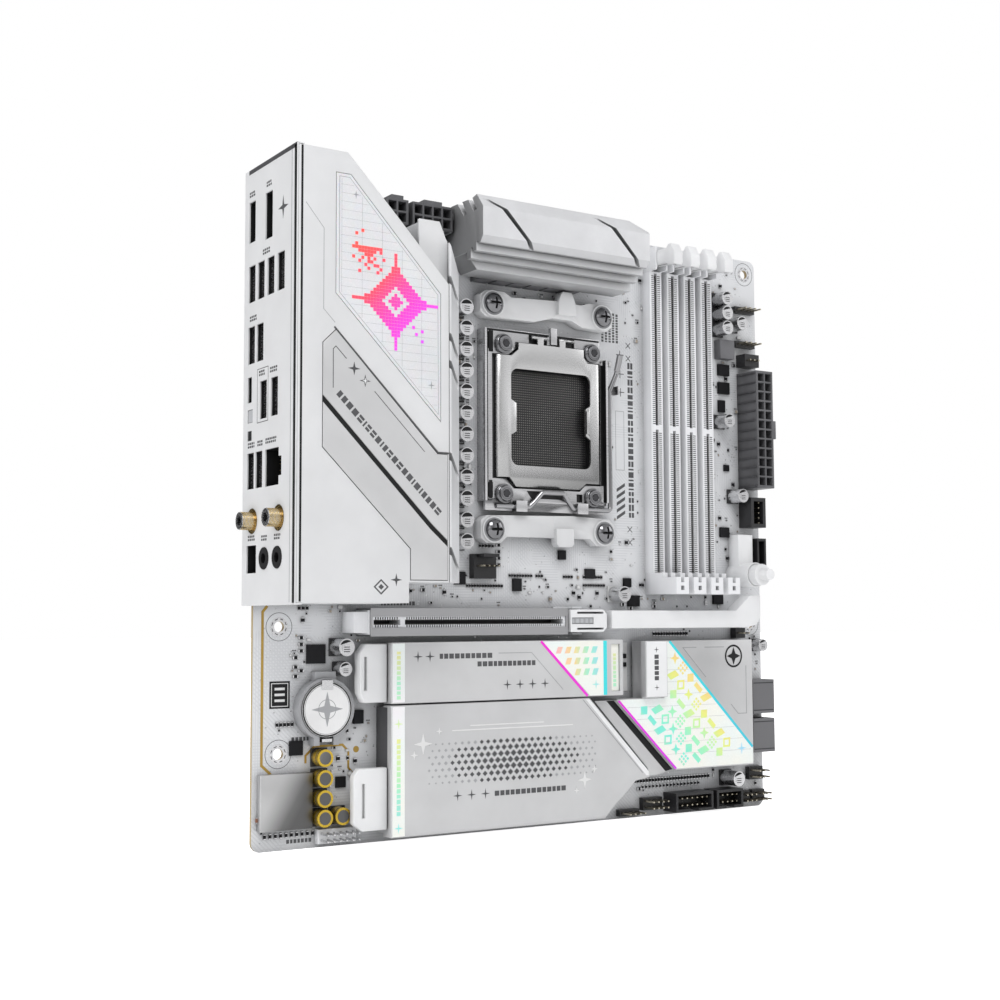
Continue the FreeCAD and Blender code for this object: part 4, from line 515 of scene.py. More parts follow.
class Piece:
    """Gathers closed solids, given in board coordinates, into one object."""

    def __init__(self, name, slot="board_mask", body="board"):
        self.name, self.slot, self.body = name, slot, body
        self.verts, self.faces, self.face_materials, self.materials = [], [], [], []

    def rings(self, rings, material, closed=False):
        """Skin a row of rings, capped at both ends or closed on itself."""
        if material not in self.materials:
            self.materials.append(material)
        n, count, base, first = len(rings[0]), len(rings), len(self.verts), len(self.faces)
        for ring in rings:
            self.verts += [to_world(*p) for p in ring]
        for i in range(count if closed else count - 1):
            a, b = base + i * n, base + ((i + 1) % count) * n
            for j in range(n):
                k = (j + 1) % n
                self.faces.append((a + j, a + k, b + k, b + j))
        if not closed:
            self.faces.append(tuple(base + j for j in reversed(range(n))))
            self.faces.append(tuple(base + (count - 1) * n + j for j in range(n)))
        index = self.materials.index(material)
        self.face_materials += [index] * (len(self.faces) - first)

    def prism(self, points, h0, h1, material, bevel=0.0):
        points = ccw(points)
        levels = [(h0, points), (h1 - bevel, points)]
        if bevel:
            levels.append((h1, inset(points, bevel)))
        self.rings([[(x, h, z) for x, z in ring] for h, ring in levels], material)

    def box(self, x0, x1, h0, h1, z0, z1, material, bevel=0.0):
        self.prism([(x0, z0), (x1, z0), (x1, z1), (x0, z1)], h0, h1, material, bevel)

    def block(self, x, z, half_x, half_z, h0, h1, material, bevel=0.0):
        """Box about a centre."""
        self.box(x - half_x, x + half_x, h0, h1, z - half_z, z + half_z, material, bevel)

    def disc(self, x, z, r, h0, h1, material, segments=24):
        self.prism(circle(x, z, r, segments), h0, h1, material)

    def ring(self, x, z, r0, r1, h0, h1, material, segments=32):
        self.rings([[(px, h, pz) for px, pz in circle(x, z, r, segments)]
                    for r, h in ((r0, h0), (r1, h0), (r1, h1), (r0, h1))], material, closed=True)

    def ring_x(self, x0, x1, h, z, r0, r1, material, segments=28):
        """Ring about an axis along x."""
        self.rings([[(x, ph, pz) for pz, ph in circle(z, h, r, segments)]
                    for r, x in ((r0, x0), (r1, x0), (r1, x1), (r0, x1))], material, closed=True)

    def stroke(self, points, width, h0, h1, material, closed=False):
        """A line of constant width with mitred corners."""
        n, left, right = len(points), [], []
        for i in range(n):
            here = Vector(points[i])
            arrive = (here - Vector(points[i - 1])).normalized() if i or closed else None
            if i < n - 1 or closed:
                leave = (Vector(points[(i + 1) % n]) - here).normalized()
            else:
                leave = arrive
            dx, dz = mitre(leave if arrive is None else arrive, leave, width / 2)
            left.append((here.x + dx, here.y + dz))
            right.append((here.x - dx, here.y - dz))
        for i in range(n if closed else n - 1):
            j = (i + 1) % n
            self.prism([right[i], right[j], left[j], left[i]], h0, h1, material)

    def tube(self, points, r, material, segments):
        """A bent round wire through points (x, h, z)."""
        points, rings = [Vector(p) for p in points], []
        reference = Vector((0.13, 0.91, 0.4)).normalized()
        last = len(points) - 1
        for i, p in enumerate(points):
            way = ((points[i + 1] - p) if i < last else (p - points[i - 1])).normalized()
            if 0 < i < last:
                way = (way + (p - points[i - 1]).normalized()).normalized()
            a = way.cross(reference).normalized()
            b = way.cross(a).normalized()
            rings.append([tuple(p + a * ca + b * cb) for ca, cb in circle(0, 0, r, segments)])
        self.rings(rings, material)

    def star(self, x, z, r, h0, h1, material, thin=0.16):
        """Plain four-pointed star."""
        self.prism([polar(x, z, r * thin * 1.35 if i % 2 else r, math.pi / 4 * i)
                    for i in range(8)], h0, h1, material)

    def dashes(self, x, z, way, count, length, width, h0, h1, material, vary, gap):
        """A row of bars of random length, as neutral print."""
        along, p = Vector(way), Vector((x, z))
        half = Vector((-along.y, along.x)) * (width / 2)
        for _ in range(count):
            end = p + along * (length * (1 - vary * RND.random()))
            self.prism([tuple(p - half), tuple(end - half), tuple(end + half), tuple(p + half)],
                       h0, h1, material)
            p = end + along * gap

    def hatch(self, outline, stations, along_x, quarters, width, h0, h1):
        """Fine lines across an outline, their ends found in quarter millimetres."""
        for at in stations:
            line = [(q / 4, at) if along_x else (at, q / 4) for q in quarters]
            line = [point for point in line if inside(outline, *point)]
            if line:
                self.stroke([line[0], line[-1]], width, h0, h1, "ink_light")

    def build(self):
        mesh = bpy.data.meshes.new(self.name)
        mesh.from_pydata(self.verts, [], self.faces)
        for key in self.materials:
            mesh.materials.append(MATERIALS[key])
        mesh.polygons.foreach_set("material_index", self.face_materials)
        bm = bmesh.new()
        bm.from_mesh(mesh)
        bmesh.ops.recalc_face_normals(bm, faces=bm.faces)
        bm.to_mesh(mesh)
        bm.free()
        built = add_object(self.name, mesh, sharp_degrees=34)
        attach(built, self.body)
        return built


def triangle_area(mesh):
    mesh.calc_loop_triangles()
    return sum(t.area for t in mesh.loop_triangles)


def rounded(node, bevel):
    """Stand in for a CAD node with its outer edges broken.

    The bevel shrinks until the surface area stays close to the original's.
    """
    source = frame["nodes"][node].data
    wanted = triangle_area(source)
    name = node + "_finish"
    for share in (1.0, 0.7, 0.5, 0.3, 0.15):
        width = bevel * share
        bm = bmesh.new()
        bm.from_mesh(source)
        bmesh.ops.remove_doubles(bm, verts=bm.verts, dist=2e-6)
        bmesh.ops.dissolve_limit(bm, angle_limit=math.radians(0.6), verts=bm.verts,
                                 edges=bm.edges, use_dissolve_boundaries=False)
        edges = [e for e in bm.edges if len(e.link_faces) == 2 and e.is_convex
                 and e.calc_face_angle(0.0) > math.radians(32.0)
                 and e.calc_length() > width / 1000.0 * 1.2]
        bmesh.ops.bevel(bm, geom=edges, offset=width / 1000.0, offset_type="OFFSET",
                        segments=2, profile=0.5, affect="EDGES", clamp_overlap=True)
        bmesh.ops.triangulate(bm, faces=[f for f in bm.faces if len(f.verts) > 4])
        mesh = bpy.data.meshes.new(name)
        bm.to_mesh(mesh)
        bm.free()
        if 0.93 * wanted < triangle_area(mesh) < 1.02 * wanted:
            break
    mesh.materials.append(MATERIALS[NODE_MATERIAL[node]])
    mesh.polygons.foreach_set("material_index", [0] * len(mesh.polygons))
    finished = add_object(name, mesh, sharp_degrees=40)
    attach(finished, BODY[node])
    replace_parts(finished, node)


# ---------------------------------------------------------------- free ground on the board
tree_verts, tree_faces = [], []
for node_name, cad in frame["nodes"].items():
    if node_name != "pcb":
        base = len(tree_verts)
        tree_verts += [v.co.copy() for v in cad.data.vertices]
        tree_faces += [tuple(base + i for i in p.vertices) for p in cad.data.polygons]
STANDING = BVHTree.FromPolygons(tree_verts, tree_faces)
TAKEN = []                           # claimed rectangles x0, x1, z0, z1


def point_free(x, z, clearance):
    if not (1.2 < x < 242.6 and 1.2 < z < 242.6):
        return False
    if any((x - hx) ** 2 + (z - hz) ** 2 < 27.0 for hx, hz in HOLES):
        return False
    place, normal, _, _ = STANDING.ray_cast(Vector(to_world(x, 0.03, z)), Vector((0, -1, 0)), 0.08)
    if place is None:
        return True
    return normal.y > 0 and -(place.y * 1000.0) - THICKNESS > clearance


def free(x0, x1, z0, z1, clearance, claim=True):
    """Whether nothing stands on a rectangle or hangs lower over it than the clearance."""
    for a, b, c, d in TAKEN:
        if x0 < b and x1 > a and z0 < d and z1 > c:
            return False
    n = max(2, int(max(x1 - x0, z1 - z0) / 1.0) + 1)
    for i in range(n + 1):
        for j in range(n + 1):
            if not point_free(x0 + (x1 - x0) * i / n, z0 + (z1 - z0) * j / n, clearance):
                return False
    if claim:
        TAKEN.append((x0 - 0.25, x1 + 0.25, z0 - 0.25, z1 + 0.25))
    return True


# ---------------------------------------------------------------- edges of the larger parts
for node_name, bevel in (
        ("io_cover", 0.35), ("vrm_heatsink_left", 0.18), ("vrm_heatsink_top", 0.18),
        ("cooler_bracket_top", 0.4), ("cooler_bracket_bottom", 0.4),
        ("m2_heatsink_upper", 0.25), ("m2_heatsink_lower", 0.25), ("chipset_heatsink", 0.22),
        ("m2_clip_upper", 0.45), ("m2_clip_lower", 0.45), ("release_bar", 0.3),
        ("release_housing", 0.3), ("release_button", 0.25), ("pcie_latch", 0.3),
        ("pcie_slot", 0.15), ("load_plate", 0.12), ("socket_frame", 0.1),
        ("cooler_screws", 0.07), ("socket_screws", 0.14), ("audio_shield", 0.18),
        ("accent_plate", 0.15), ("power_connector_main", 0.12), ("power_connector_cpu", 0.12)):
    rounded(node_name, bevel)
for i in range(1, 5):
    rounded("memory_slot_%d" % i, 0.14)
    rounded("memory_latch_%d" % i, 0.2)

# ---------------------------------------------------------------- board print, rings, tracks
PRINT = (-0.01, 0.022)               # lower and upper height of print on the board
OVERPRINT = (0.022, 0.042)           # second layer upon it
TRACK = (-0.01, 0.03)
BAR_GAP = 0.75


def ink_on(h):
    """Print layer on a face at height h."""
    return (h - 0.02, h + 0.03)


def second_ink(h):
    """Layer laid on the print of a face at height h."""
    return (h + 0.03, h + 0.05)


def random_bar(length_range, whole, split, narrow, half_width):
    """Length and cross spans of a bar that is whole, split lengthwise or narrow."""
    length, kind = 1.5 + length_range * RND.random(), RND.random()
    if whole <= kind < split:
        return length, ((-half_width, -0.2), (0.2, half_width))
    return narrow if kind >= split else length, ((-half_width, half_width),)


part = Piece("board_print")
for x, z in HOLES:
    part.ring(x, z, 1.98, 3.5, -0.01, 0.035, "tinned")
    part.ring(x, z, 5.0, 5.2, *PRINT, "ink", 48)
    for i in range(8):
        angle = math.pi / 4 * i + 0.2
        part.stroke([polar(x, z, 2.9, angle), polar(x, z, 2.9, angle + 0.42)],
                    0.34, 0.0, 0.045, "ink")
part.stroke([(5.5, 87.6), (3.7, 85.4), (3.7, 30.6), (7.4, 27.2)], 1.0, *TRACK, "gold_track")
part.stroke([(21.0, 30.5), (21.0, 33.2), (24.5, 36.4), (36.0, 36.5), (38.4, 34.0),
             (38.4, 28.0), (40.0, 26.2)], 0.85, *TRACK, "gold_track")
part.disc(41.6, 34.6, 1.2, *TRACK, "gold_track")
# upright and diagonal crosses
for x, z in ((166.6, 194.2), (166.8, 178.2), (166.6, 186.0)):
    part.stroke([(x - 2.0, z), (x + 2.0, z)], 0.34, *PRINT, "ink")
    part.stroke([(x, z - 1.8), (x, z + 1.8)], 0.34, *PRINT, "ink")
for x, z in ((171.0, 120.0), (171.0, 114.5), (171.0, 193.0), (171.0, 198.5)):
    for sign in (-1, 1):
        part.stroke([(x - 1.2, z - 1.2 * sign), (x + 1.2, z + 1.2 * sign)], 0.32, *PRINT, "ink")
part.stroke([(164.0, 145.0), (168.4, 145.0), (168.4, 170.0), (164.0, 170.0)],
            0.2, *PRINT, "ink_light", closed=True)
# column of bars left of the memory slots
z = 125.0
while z < 188.5:
    length, spans = random_bar(length_range=1.3, whole=0.35, split=0.7, narrow=0.7,
                               half_width=1.35)
    for a, b in spans:
        part.box(171.95 + a, 171.95 + b, *PRINT, z, z + length, "ink")
    z += length + BAR_GAP
for i in range(5):
    z = 124.0 + 2.9 * i
    part.prism([(164.2, z), (168.6, z + 2.6), (168.6, z + 4.0), (164.2, z + 1.4)], *PRINT, "ink")
# x, z, direction, count, length, width, length variation, gap
for x, z, way, count, length, width, vary, gap in (
        (52.0, 88.6, ALONG_X, 11, 1.2, 1.5, 0.4, 0.4),
        (15.4, 39.4, ALONG_X, 7, 1.2, 1.4, 0.3, 0.4),
        (13.6, 3.0, ALONG_X, 7, 1.2, 1.4, 0.3, 0.4),
        (90.6, 166.0, ALONG_Z, 20, 0.8, 1.5, 0.4, 0.35),
        (90.6, 190.5, ALONG_Z, 11, 0.8, 1.5, 0.4, 0.35),
        *((157.5 + 1.9 * i, 199.0, ALONG_Z, 11, 1.1, 1.15, 0.5, 0.35) for i in range(5))):
    part.dashes(x, z, way, count, length, width, *PRINT, "ink", vary, gap)
# plain dark field with a light frame beside the coin cell
part.box(6.6, 14.6, *PRINT, 50.6, 60.4, "black_print")
part.stroke([(7.4, 51.4), (13.8, 51.4), (13.8, 59.6), (7.4, 59.6)],
            0.28, *OVERPRINT, "lamp_board", closed=True)
for i in range(3):
    part.box(8.6, 12.6, *OVERPRINT, 53.0 + 2.1 * i, 53.9 + 2.1 * i, "lamp_board")
TAKEN += [(6.2, 15.0, 50.2, 60.8), (163.6, 174.0, 123.4, 200.6), (157.0, 167.4, 198.6, 216.0),
          (90.2, 92.6, 165.6, 205.0)]
# vias wherever the board is bare
for _ in range(2600):
    x, z = RND.uniform(3, 241), RND.uniform(3, 241)
    if free(x - 0.35, x + 0.35, z - 0.35, z + 0.35, 0.3, claim=False):
        part.ring(x, z, 0.12, 0.27, -0.01, 0.016,
                  "ink_light" if RND.random() < 0.35 else "tinned", 8)
part.build()

# ---------------------------------------------------------------- small surface parts
parts = Piece("board_parts", "chip_black")
labels = Piece("board_labels")


def chip(x, z, length, width, height, material, along_x):
    """A small part with tinned end caps, if there is room for it."""
    a, c = (length, width) if along_x else (width, length)
    if not free(x - a / 2, x + a / 2, z - c / 2, z + c / 2, height + 0.3):
        return False
    half, cap = length / 2, length * 0.2
    for start, end, lip, key in ((cap - half, half - cap, 0.0, material),
                                 (-half, cap - half, 0.01, "tinned"),
                                 (half - cap, half, 0.01, "tinned")):
        span_x, span_z = (start, end), (-width / 2 - lip, width / 2 + lip)
        if not along_x:
            span_x, span_z = span_z, span_x
        parts.box(x + span_x[0], x + span_x[1], 0.0, height + 2 * lip,
                  z + span_z[0], z + span_z[1], key, 0.05)
    return True


NARROW, WIDE = (1.5, 0.75, 0.6), (1.9, 0.9, 0.6)     # length, width, height
# rows along x: x0, x1, z, pitch, part size
for x0, x1, z, pitch, size in (
        (90.0, 107.5, 95.6, 1.25, NARROW), (110.0, 121.0, 99.8, 1.3, NARROW),
        (123.0, 126.0, 99.8, 1.3, NARROW), (136.5, 141.0, 99.6, 1.3, NARROW),
        (146.5, 156.0, 99.6, 1.3, NARROW), (146.5, 158.0, 96.2, 1.3, NARROW),
        (183.0, 202.5, 76.0, 1.5, WIDE), (172.0, 213.0, 14.8, 1.6, WIDE),
        (176.0, 208.0, 12.2, 1.9, NARROW), (9.5, 16.0, 44.8, 1.5, WIDE),
        (5.0, 24.0, 5.4, 2.1, WIDE), (60.5, 66.0, 93.4, 1.4, WIDE),
        (96.0, 103.0, 111.4, 1.5, NARROW), (18.0, 22.5, 86.8, 1.6, WIDE),
        (176.0, 184.0, 96.6, 1.4, WIDE), (214.0, 226.0, 96.0, 1.5, NARROW)):
    for x in steps(x0, x1, pitch):
        chip(x, z, *size, "package", along_x=False)
# rows along z: x, z0, z1, pitch
for x, z0, z1, pitch in (
        (104.6, 104.0, 112.5, 1.3), (161.0, 54.0, 60.0, 1.4), (212.0, 200.0, 212.0, 1.5),
        (16.6, 62.0, 72.0, 3.4), (18.8, 64.0, 78.0, 2.4), (214.5, 140.0, 160.0, 2.2),
        (30.0, 58.0, 62.0, 1.4)):
    for z in steps(z0, z1, pitch):
        chip(x, z, 2.2, 1.1, 0.7, "package", along_x=True)
for z in (66.9, 63.4):
    parts.block(166.6, z, 1.1, 0.9, 0.0, 1.1, "black_print", 0.15)
parts.box(164.9, 168.6, 0.0, 0.35, 52.4, 72.6, "lamp_board", 0.08)
# areas strewn with parts: x0, x1, z0, z1, tries
for x0, x1, z0, z1, tries in (
        (88, 108, 93, 98, 13), (108, 128, 97.5, 102.5, 14), (134, 158, 93, 103, 22),
        (150, 158, 86, 92, 4), (182, 204, 73.8, 77.6, 14), (170, 216, 10, 17.2, 33),
        (8, 18, 42, 48, 6), (3, 24, 3.5, 7, 9), (13, 24, 56, 90, 22), (26, 40, 14, 36, 18),
        (29, 41, 76, 92, 12), (37, 47, 28, 50, 11), (160, 176, 100, 242, 49),
        (212, 236, 96, 232, 82), (60, 96, 98, 112, 22), (84, 94, 112, 214, 49),
        (160, 236, 86, 100, 38), (42, 140, 93, 97, 33), (96, 160, 208, 216, 27),
        (226, 242, 56, 76, 16), (156, 180, 205, 242, 27), (212, 242, 236, 243, 14),
        (228, 243, 2, 22, 14), (60, 160, 86.5, 92, 16), (42, 52, 74, 78, 3)):
    for _ in range(tries):
        size = RND.choice([(1.0, 0.5, 0.4), (1.6, 0.8, 0.55), (1.0, 0.5, 0.4), (2.0, 1.25, 0.8)])
        x = x0 + round(RND.uniform(0, x1 - x0) / 0.8) * 0.8
        z = z0 + round(RND.uniform(0, z1 - z0) / 0.8) * 0.8
        along_x = RND.random() < 0.5
        material = RND.choice(["package", "package", "package", "ceramic", "lamp_board"])
        if chip(x, z, *size, material, along_x) and RND.random() < 0.5:
            width = size[1]
            if along_x:
                z = z + width / 2 + 0.75
            else:
                x = x + width / 2 + 0.75
            if free(x - 0.9, x + 0.9, z - 0.4, z + 0.4, 0.3):
                labels.dashes(x - 0.85, z, ALONG_X, 3, 0.5, 0.5, *PRINT, "ink", 0.3, 0.15)
chip(2.2, 11.5, 2.4, 1.3, 1.0, "small_brown", along_x=False)
parts.build()
labels.build()

# ---------------------------------------------------------------- memory slots
for number, slot_x in enumerate(MEMORY_X, 1):
    part = Piece("memory_contacts_%d" % number, "grey_plastic")
    for z0, z1 in ((101.0, 162.7), (164.5, 230.2)):    # either side of the key
        part.box(slot_x - 0.78, slot_x + 0.78, 0.9, 1.7, z0 + 0.1, z1 - 0.1, "dark_moulding")
        for i in range(int((z1 - z0 - 1.0) / 0.85)):
            z = z0 + 0.7 + i * 0.85
            for side in (-1, 1):
                part.block(slot_x + side * 1.605, z, 0.745, 0.17, 5.30, 5.43, "shadow_gap")
                part.block(slot_x + side * 0.605, z, 0.185, 0.16, 2.0, 4.9, "contact_spring")
    part.build()

# ---------------------------------------------------------------- processor socket
part = Piece("socket_springs", "contact_field")
h = top("socket_contact_field")
for i in range(40):
    for j in range(40):
        x, z = 107.3 + i * 0.98, 143.9 + j * 0.967
        part.prism([(x - 0.26, z - 0.15), (x + 0.1, z - 0.24), (x + 0.28, z + 0.06),
                    (x - 0.08, z + 0.17)], h - 0.05, h + 0.32, "contact_spring")
for x0, x1, z0, z1 in ((96.3, 99.6, 189.2, 197.2), (96.3, 99.6, 130.0, 136.8),
                       (139.2, 143.0, 129.4, 133.6)):
    part.box(x0, x1, 0.02, 3.9, z0, z1, "dark_moulding", 0.2)
part.build()

# painted shade: black strips on the socket frame's edges and a dark sheet on its right rail's inner
# wall, where the frame shows dark gaps
part = Piece("frame_painted_shade", "steel")
for x0, x1, z0, z1 in ((96.06, 96.85, 129.2, 197.0), (97.2, 99.3, 188.4, 196.9),
                       (96.1, 151.6, 196.95, 197.75), (97.2, 98.7, 130.0, 137.2),
                       (152.1, 153.32, 137.2, 187.6)):
    part.box(x0, x1, 5.26, 5.36, z0, z1, "black_print")
part.box(153.30, 153.395, 5.3, 7.5, 130.2, 189.4, "black_print")
part.build()

# thick round tip of the load lever
part = Piece("lever_grip", "screw_steel", body="load_lever")
part.tube([(159.15, 7.55, 185.4), (159.4, 8.0, 187.6), (159.66, 8.45, 189.8),
           (159.88, 8.88, 191.9)], 1.3, "rolled_steel", 12)
part.build()

# grey block in the well of the card latch
part = Piece("latch_well_block", "white_plastic", body="pcie_latch")
part.box(132.1, 142.7, 10.7, 11.7, 80.5, 82.9, "grey_moulding", 0.2)
for i in range(4):
    part.box(133.4 + 2.3 * i, 134.2 + 2.3 * i, 11.68, 11.76, 80.9, 82.5, "cell_holder")
part.build()

# packages between the memory slots and the power connector
part = Piece("side_packages", "dark_plastic")
for x0, x1, z0, z1 in ((218.4, 221.8, 156.4, 159.8), (218.6, 221.4, 151.0, 153.8),
                       (223.6, 226.4, 147.4, 150.2), (218.4, 221.0, 144.0, 147.6),
                       (223.8, 226.2, 157.0, 159.6)):
    if free(x0, x1, z0, z1, 1.2):
        part.box(x0, x1, 0.02, 0.95, z0, z1, "package", 0.08)
part.build()

# ---------------------------------------------------------------- expansion slot
part = Piece("expansion_contacts", "grey_plastic")
for x0, x1 in ((43.2, 54.4), (56.4, 128.6)):
    part.box(x0 + 0.1, x1 - 0.1, 1.2, 2.4, 80.65, 82.35, "dark_moulding")
    for i in range(int((x1 - x0 - 0.8) / 1.0)):
        x = x0 + 0.8 + i
        for z0, z1 in ((79.6, 80.5), (82.5, 83.4)):
            part.box(x - 0.22, x + 0.22, 10.62, 10.74, z0, z1, "shadow_gap")
        for z0, z1 in ((80.56, 80.86), (82.14, 82.44)):
            part.box(x - 0.2, x + 0.2, 4.0, 9.8, z0, z1, "contact_spring")
part.build()

# ---------------------------------------------------------------- light window
WINDOW_TOP = 41.33
WINDOW_BED = WINDOW_TOP - 0.09       # underside of what lies on the window
WINDOW = [(12.0, 195.3), (53.8, 153.5), (53.8, 199.5), (17.5, 237.8), (12.0, 237.8)]
WINDOW_FIELD = inset(ccw(WINDOW), 1.6)
CELL = 1.2                           # pitch of the square ornament
CELL_X, CELL_Z = 35.4, 194.6
# squares strewn about the large star, as (column, row)
LOOSE_CELLS = ((-5, 9), (-6, 10), (-7, 10), (-7, 12), (-8, 11), (-6, 8), (-9, 9), (-10, 10),
               (-11, 12), (-12, 11), (-12, 14), (-13, 16), (-14, 15), (-13, 19), (-11, 20),
               (-12, 8), (-14, 12), (6, -7), (7, -9), (9, -8), (9, -11), (-4, 12), (-5, 14))


def in_star(i, j, radius, power):
    return abs(i) ** power + abs(j) ** power < radius ** power


part = Piece("window_panel", "window_acrylic")
part.prism(WINDOW, 40.05, WINDOW_TOP - 0.08, "window", 0.12)
part.stroke(inset(ccw(WINDOW), 1.1), 0.16, WINDOW_BED, WINDOW_TOP - 0.04, "ink_light", closed=True)
part.hatch(WINDOW_FIELD, range(14, 54, 8), False, range(600, 960), 0.07,
           WINDOW_BED, WINDOW_TOP - 0.06)
part.hatch(WINDOW_FIELD, range(156, 238, 3), True, range(44, 220), 0.07,
           WINDOW_BED, WINDOW_TOP - 0.06)
cells = [(i, j) for i in range(-15, 16) for j in range(-15, 16)
         if (in_star(i, j, 14.4, 0.66) and not 2 < abs(i) + abs(j) < 5)
         or in_star(i + 9, j - 15, 4.6, 0.7)]
for i, j in cells + list(LOOSE_CELLS):
    x, z = CELL_X + i * CELL, CELL_Z + j * CELL
    if inside(WINDOW_FIELD, x, z):
        part.block(x, z, CELL * 0.47, CELL * 0.47, WINDOW_BED, WINDOW_TOP, "pixel_glow")
for x, z in ((19.5, 231.0), (50.0, 166.0)):
    part.star(x, z, 1.5, WINDOW_BED, WINDOW_TOP - 0.03, "ink_light")
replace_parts(part.build(), "light_window")

# ---------------------------------------------------------------- accent plate and cover
part = Piece("cover_print", "silver_metal")
ACCENT_TOP = 41.30
accent_ink, cover_ink = ink_on(ACCENT_TOP), ink_on(41.2)
for i in range(2):
    part.star(19.0 + 4.3 * i, 169.4 - 4.0 * i, 2.4 - 0.2 * i, *accent_ink, "ink", 0.2)
part.star(23.3, 165.4, 1.2, ACCENT_TOP + 0.02, ACCENT_TOP + 0.05, "plate_light", 0.2)
# slanting row of bars
along, across = Vector((0.707, -0.707)), Vector((0.707, 0.707))
place = Vector((12.9, 160.6))
while place.x < 53.0:
    length, spans = random_bar(length_range=0.9, whole=0.4, split=0.75, narrow=0.65,
                               half_width=1.15)
    for a, b in spans:
        part.prism(turned(place, along, across, ((0, a), (length, a), (length, b), (0, b))),
                   *accent_ink, "ink")
    place = place + along * (length + BAR_GAP)
part.stroke([(10.9, 162.0), (10.9, 175.6), (11.9, 176.6), (16.0, 172.6)], 0.26, *accent_ink, "ink")
part.stroke([(27.0, 162.0), (47.2, 141.9)], 0.24, *accent_ink, "ink")
# painted shadow along the upper edge of the accent plate, in the dark ink
part.stroke([(11.3, 183.3), (52.7, 141.9), (57.2, 141.9)], 0.6,
            ACCENT_TOP - 0.3, ACCENT_TOP + 0.02, "ink")
part.star(35.8, 96.3, 2.3, *cover_ink, "ink", 0.2)
part.stroke([(29.8, 91.4), (32.4, 93.8), (29.8, 96.2), (27.2, 93.8)], 0.5,
            *cover_ink, "ink", closed=True)
part.prism([(29.8, 92.8), (30.9, 93.8), (29.8, 94.8), (28.7, 93.8)], *cover_ink, "ink")
part.stroke([(-1.15, 88.6), (-1.15, 245.4)], 0.8, 41.16, 41.22, "black_print")
part.stroke([(0.3, 225.6), (7.2, 217.4), (7.2, 189.2), (11.6, 184.8)], 0.2,
            41.18, 41.215, "ink_light")
part.build()

# ---------------------------------------------------------------- upper drive plate
part = Piece("drive_upper_print", "silver_metal")
h = top("m2_heatsink_upper")
ink, over = ink_on(h), second_ink(h)
line = (h - 0.02, h + 0.045)         # coloured edge lines stand a little proud of the print
part.box(50.4, 55.6, *ink, 51.9, 73.6, "film")
part.dashes(53.0, 53.0, ALONG_Z, 10, 1.7, 1.6, *over, "pastel_strip", 0.4, 0.5)
part.star(61.2, 68.6, 2.1, *ink, "ink")
part.star(66.4, 68.6, 2.1, *ink, "ink")
part.dashes(70.6, 68.6, ALONG_X, 10, 2.2, 1.9, *ink, "ink", 0.35, 0.5)
part.stroke([(97.0, 69.4), (112.4, 69.4), (127.4, 54.6)], 0.22, *ink, "ink_light")
part.dashes(87.4, 65.4, ALONG_X, 12, 2.2, 1.9, *ink, "ink", 0.35, 0.5)
for i in range(4):
    part.star(101.0 + 5.9 * i, 57.2, 2.0, *ink, "ink")
part.prism([(117.6, 73.6), (148.9, 73.6), (148.9, 51.8), (140.6, 51.8)], *ink, "film")
part.stroke([(116.9, 73.7), (139.4, 51.7)], 1.1, *line, "magenta_line")
part.box(147.4, 149.2, *line, 51.8, 73.6, "cyan_line")
for z, x0, count in ((70.2, 124.0, 5), (65.8, 128.5, 4), (61.4, 133.0, 3)):
    for i in range(count):
        x = x0 + i * 4.3
        part.prism([(x, z - 1.4), (x + 2.4, z - 1.4), (x + 3.4, z + 1.2), (x + 1.0, z + 1.2)],
                   *over, "pastel_upper")
part.star(143.6, 56.2, 2.0, *over, "pastel_upper")
part.box(151.75, 155.85, h - 1.22, h - 1.0, 53.3, 72.1, "film")
part.dashes(153.8, 55.0, ALONG_Z, 8, 1.8, 1.5, h - 1.0, h - 0.96, "pastel_strip", 0.4, 0.4)
part.build()

# ---------------------------------------------------------------- lower drive plate
part = Piece("drive_lower_print", "silver_metal")
h = top("m2_heatsink_lower")
ink, over = ink_on(h), second_ink(h)
part.box(50.4, 55.6, *ink, 3.0, 50.3, "film")
for z in (6.0, 44.0):
    part.star(53.0, z, 1.9, *over, "pastel_strip")
part.dashes(53.0, 10.5, ALONG_Z, 14, 1.9, 1.6, *over, "pastel_strip", 0.4, 0.45)
# field of small diamonds that grow toward the middle
for i in range(27):
    for j in range(7):
        x, z = 66.0 + i * 2.9 + (1.45 if j % 2 else 0.0), 21.4 + j * 2.4
        nearness = 1.0 - abs((x - 104.0) / 44.0) ** 1.6 - 0.5 * abs((z - 28.6) / 9.0) ** 2
        size = 0.4 + 1.0 * max(0.0, nearness)
        part.prism([(x + size, z), (x, z + size * 0.92), (x - size, z), (x, z - size * 0.92)],
                   *ink, "ink" if nearness > 0.45 else "plate_dark")
for x, z, r in ((63.4, 36.2, 4.2), (59.6, 32.2, 1.9), (70.4, 40.6, 1.6), (137.6, 18.6, 3.6),
                (142.4, 22.6, 1.9), (133.6, 14.6, 1.6)):
    part.star(x, z, r, h - 0.02, h + 0.05, "lamp_board", 0.2)
for x0, x1, z in ((76.0, 132.0, 40.6), (84.0, 118.0, 42.2)):
    part.stroke([(x0, z), (x1, z)], 0.5, *ink, "lamp_board")
for i in range(3):
    part.star(78.4 + 6.2 * i, 16.2, 2.0, *ink, "ink")
part.dashes(95.0, 16.0, ALONG_X, 14, 2.2, 1.9, *ink, "ink", 0.35, 0.5)
part.stroke([(137.0, 50.3), (167.0, 19.6)], 0.3, *ink, "ink_light")
part.prism([(138.4, 50.3), (140.2, 50.3), (170.0, 20.0), (170.0, 18.4), (168.8, 18.4)],
           *ink, "plate_light")
part.build()

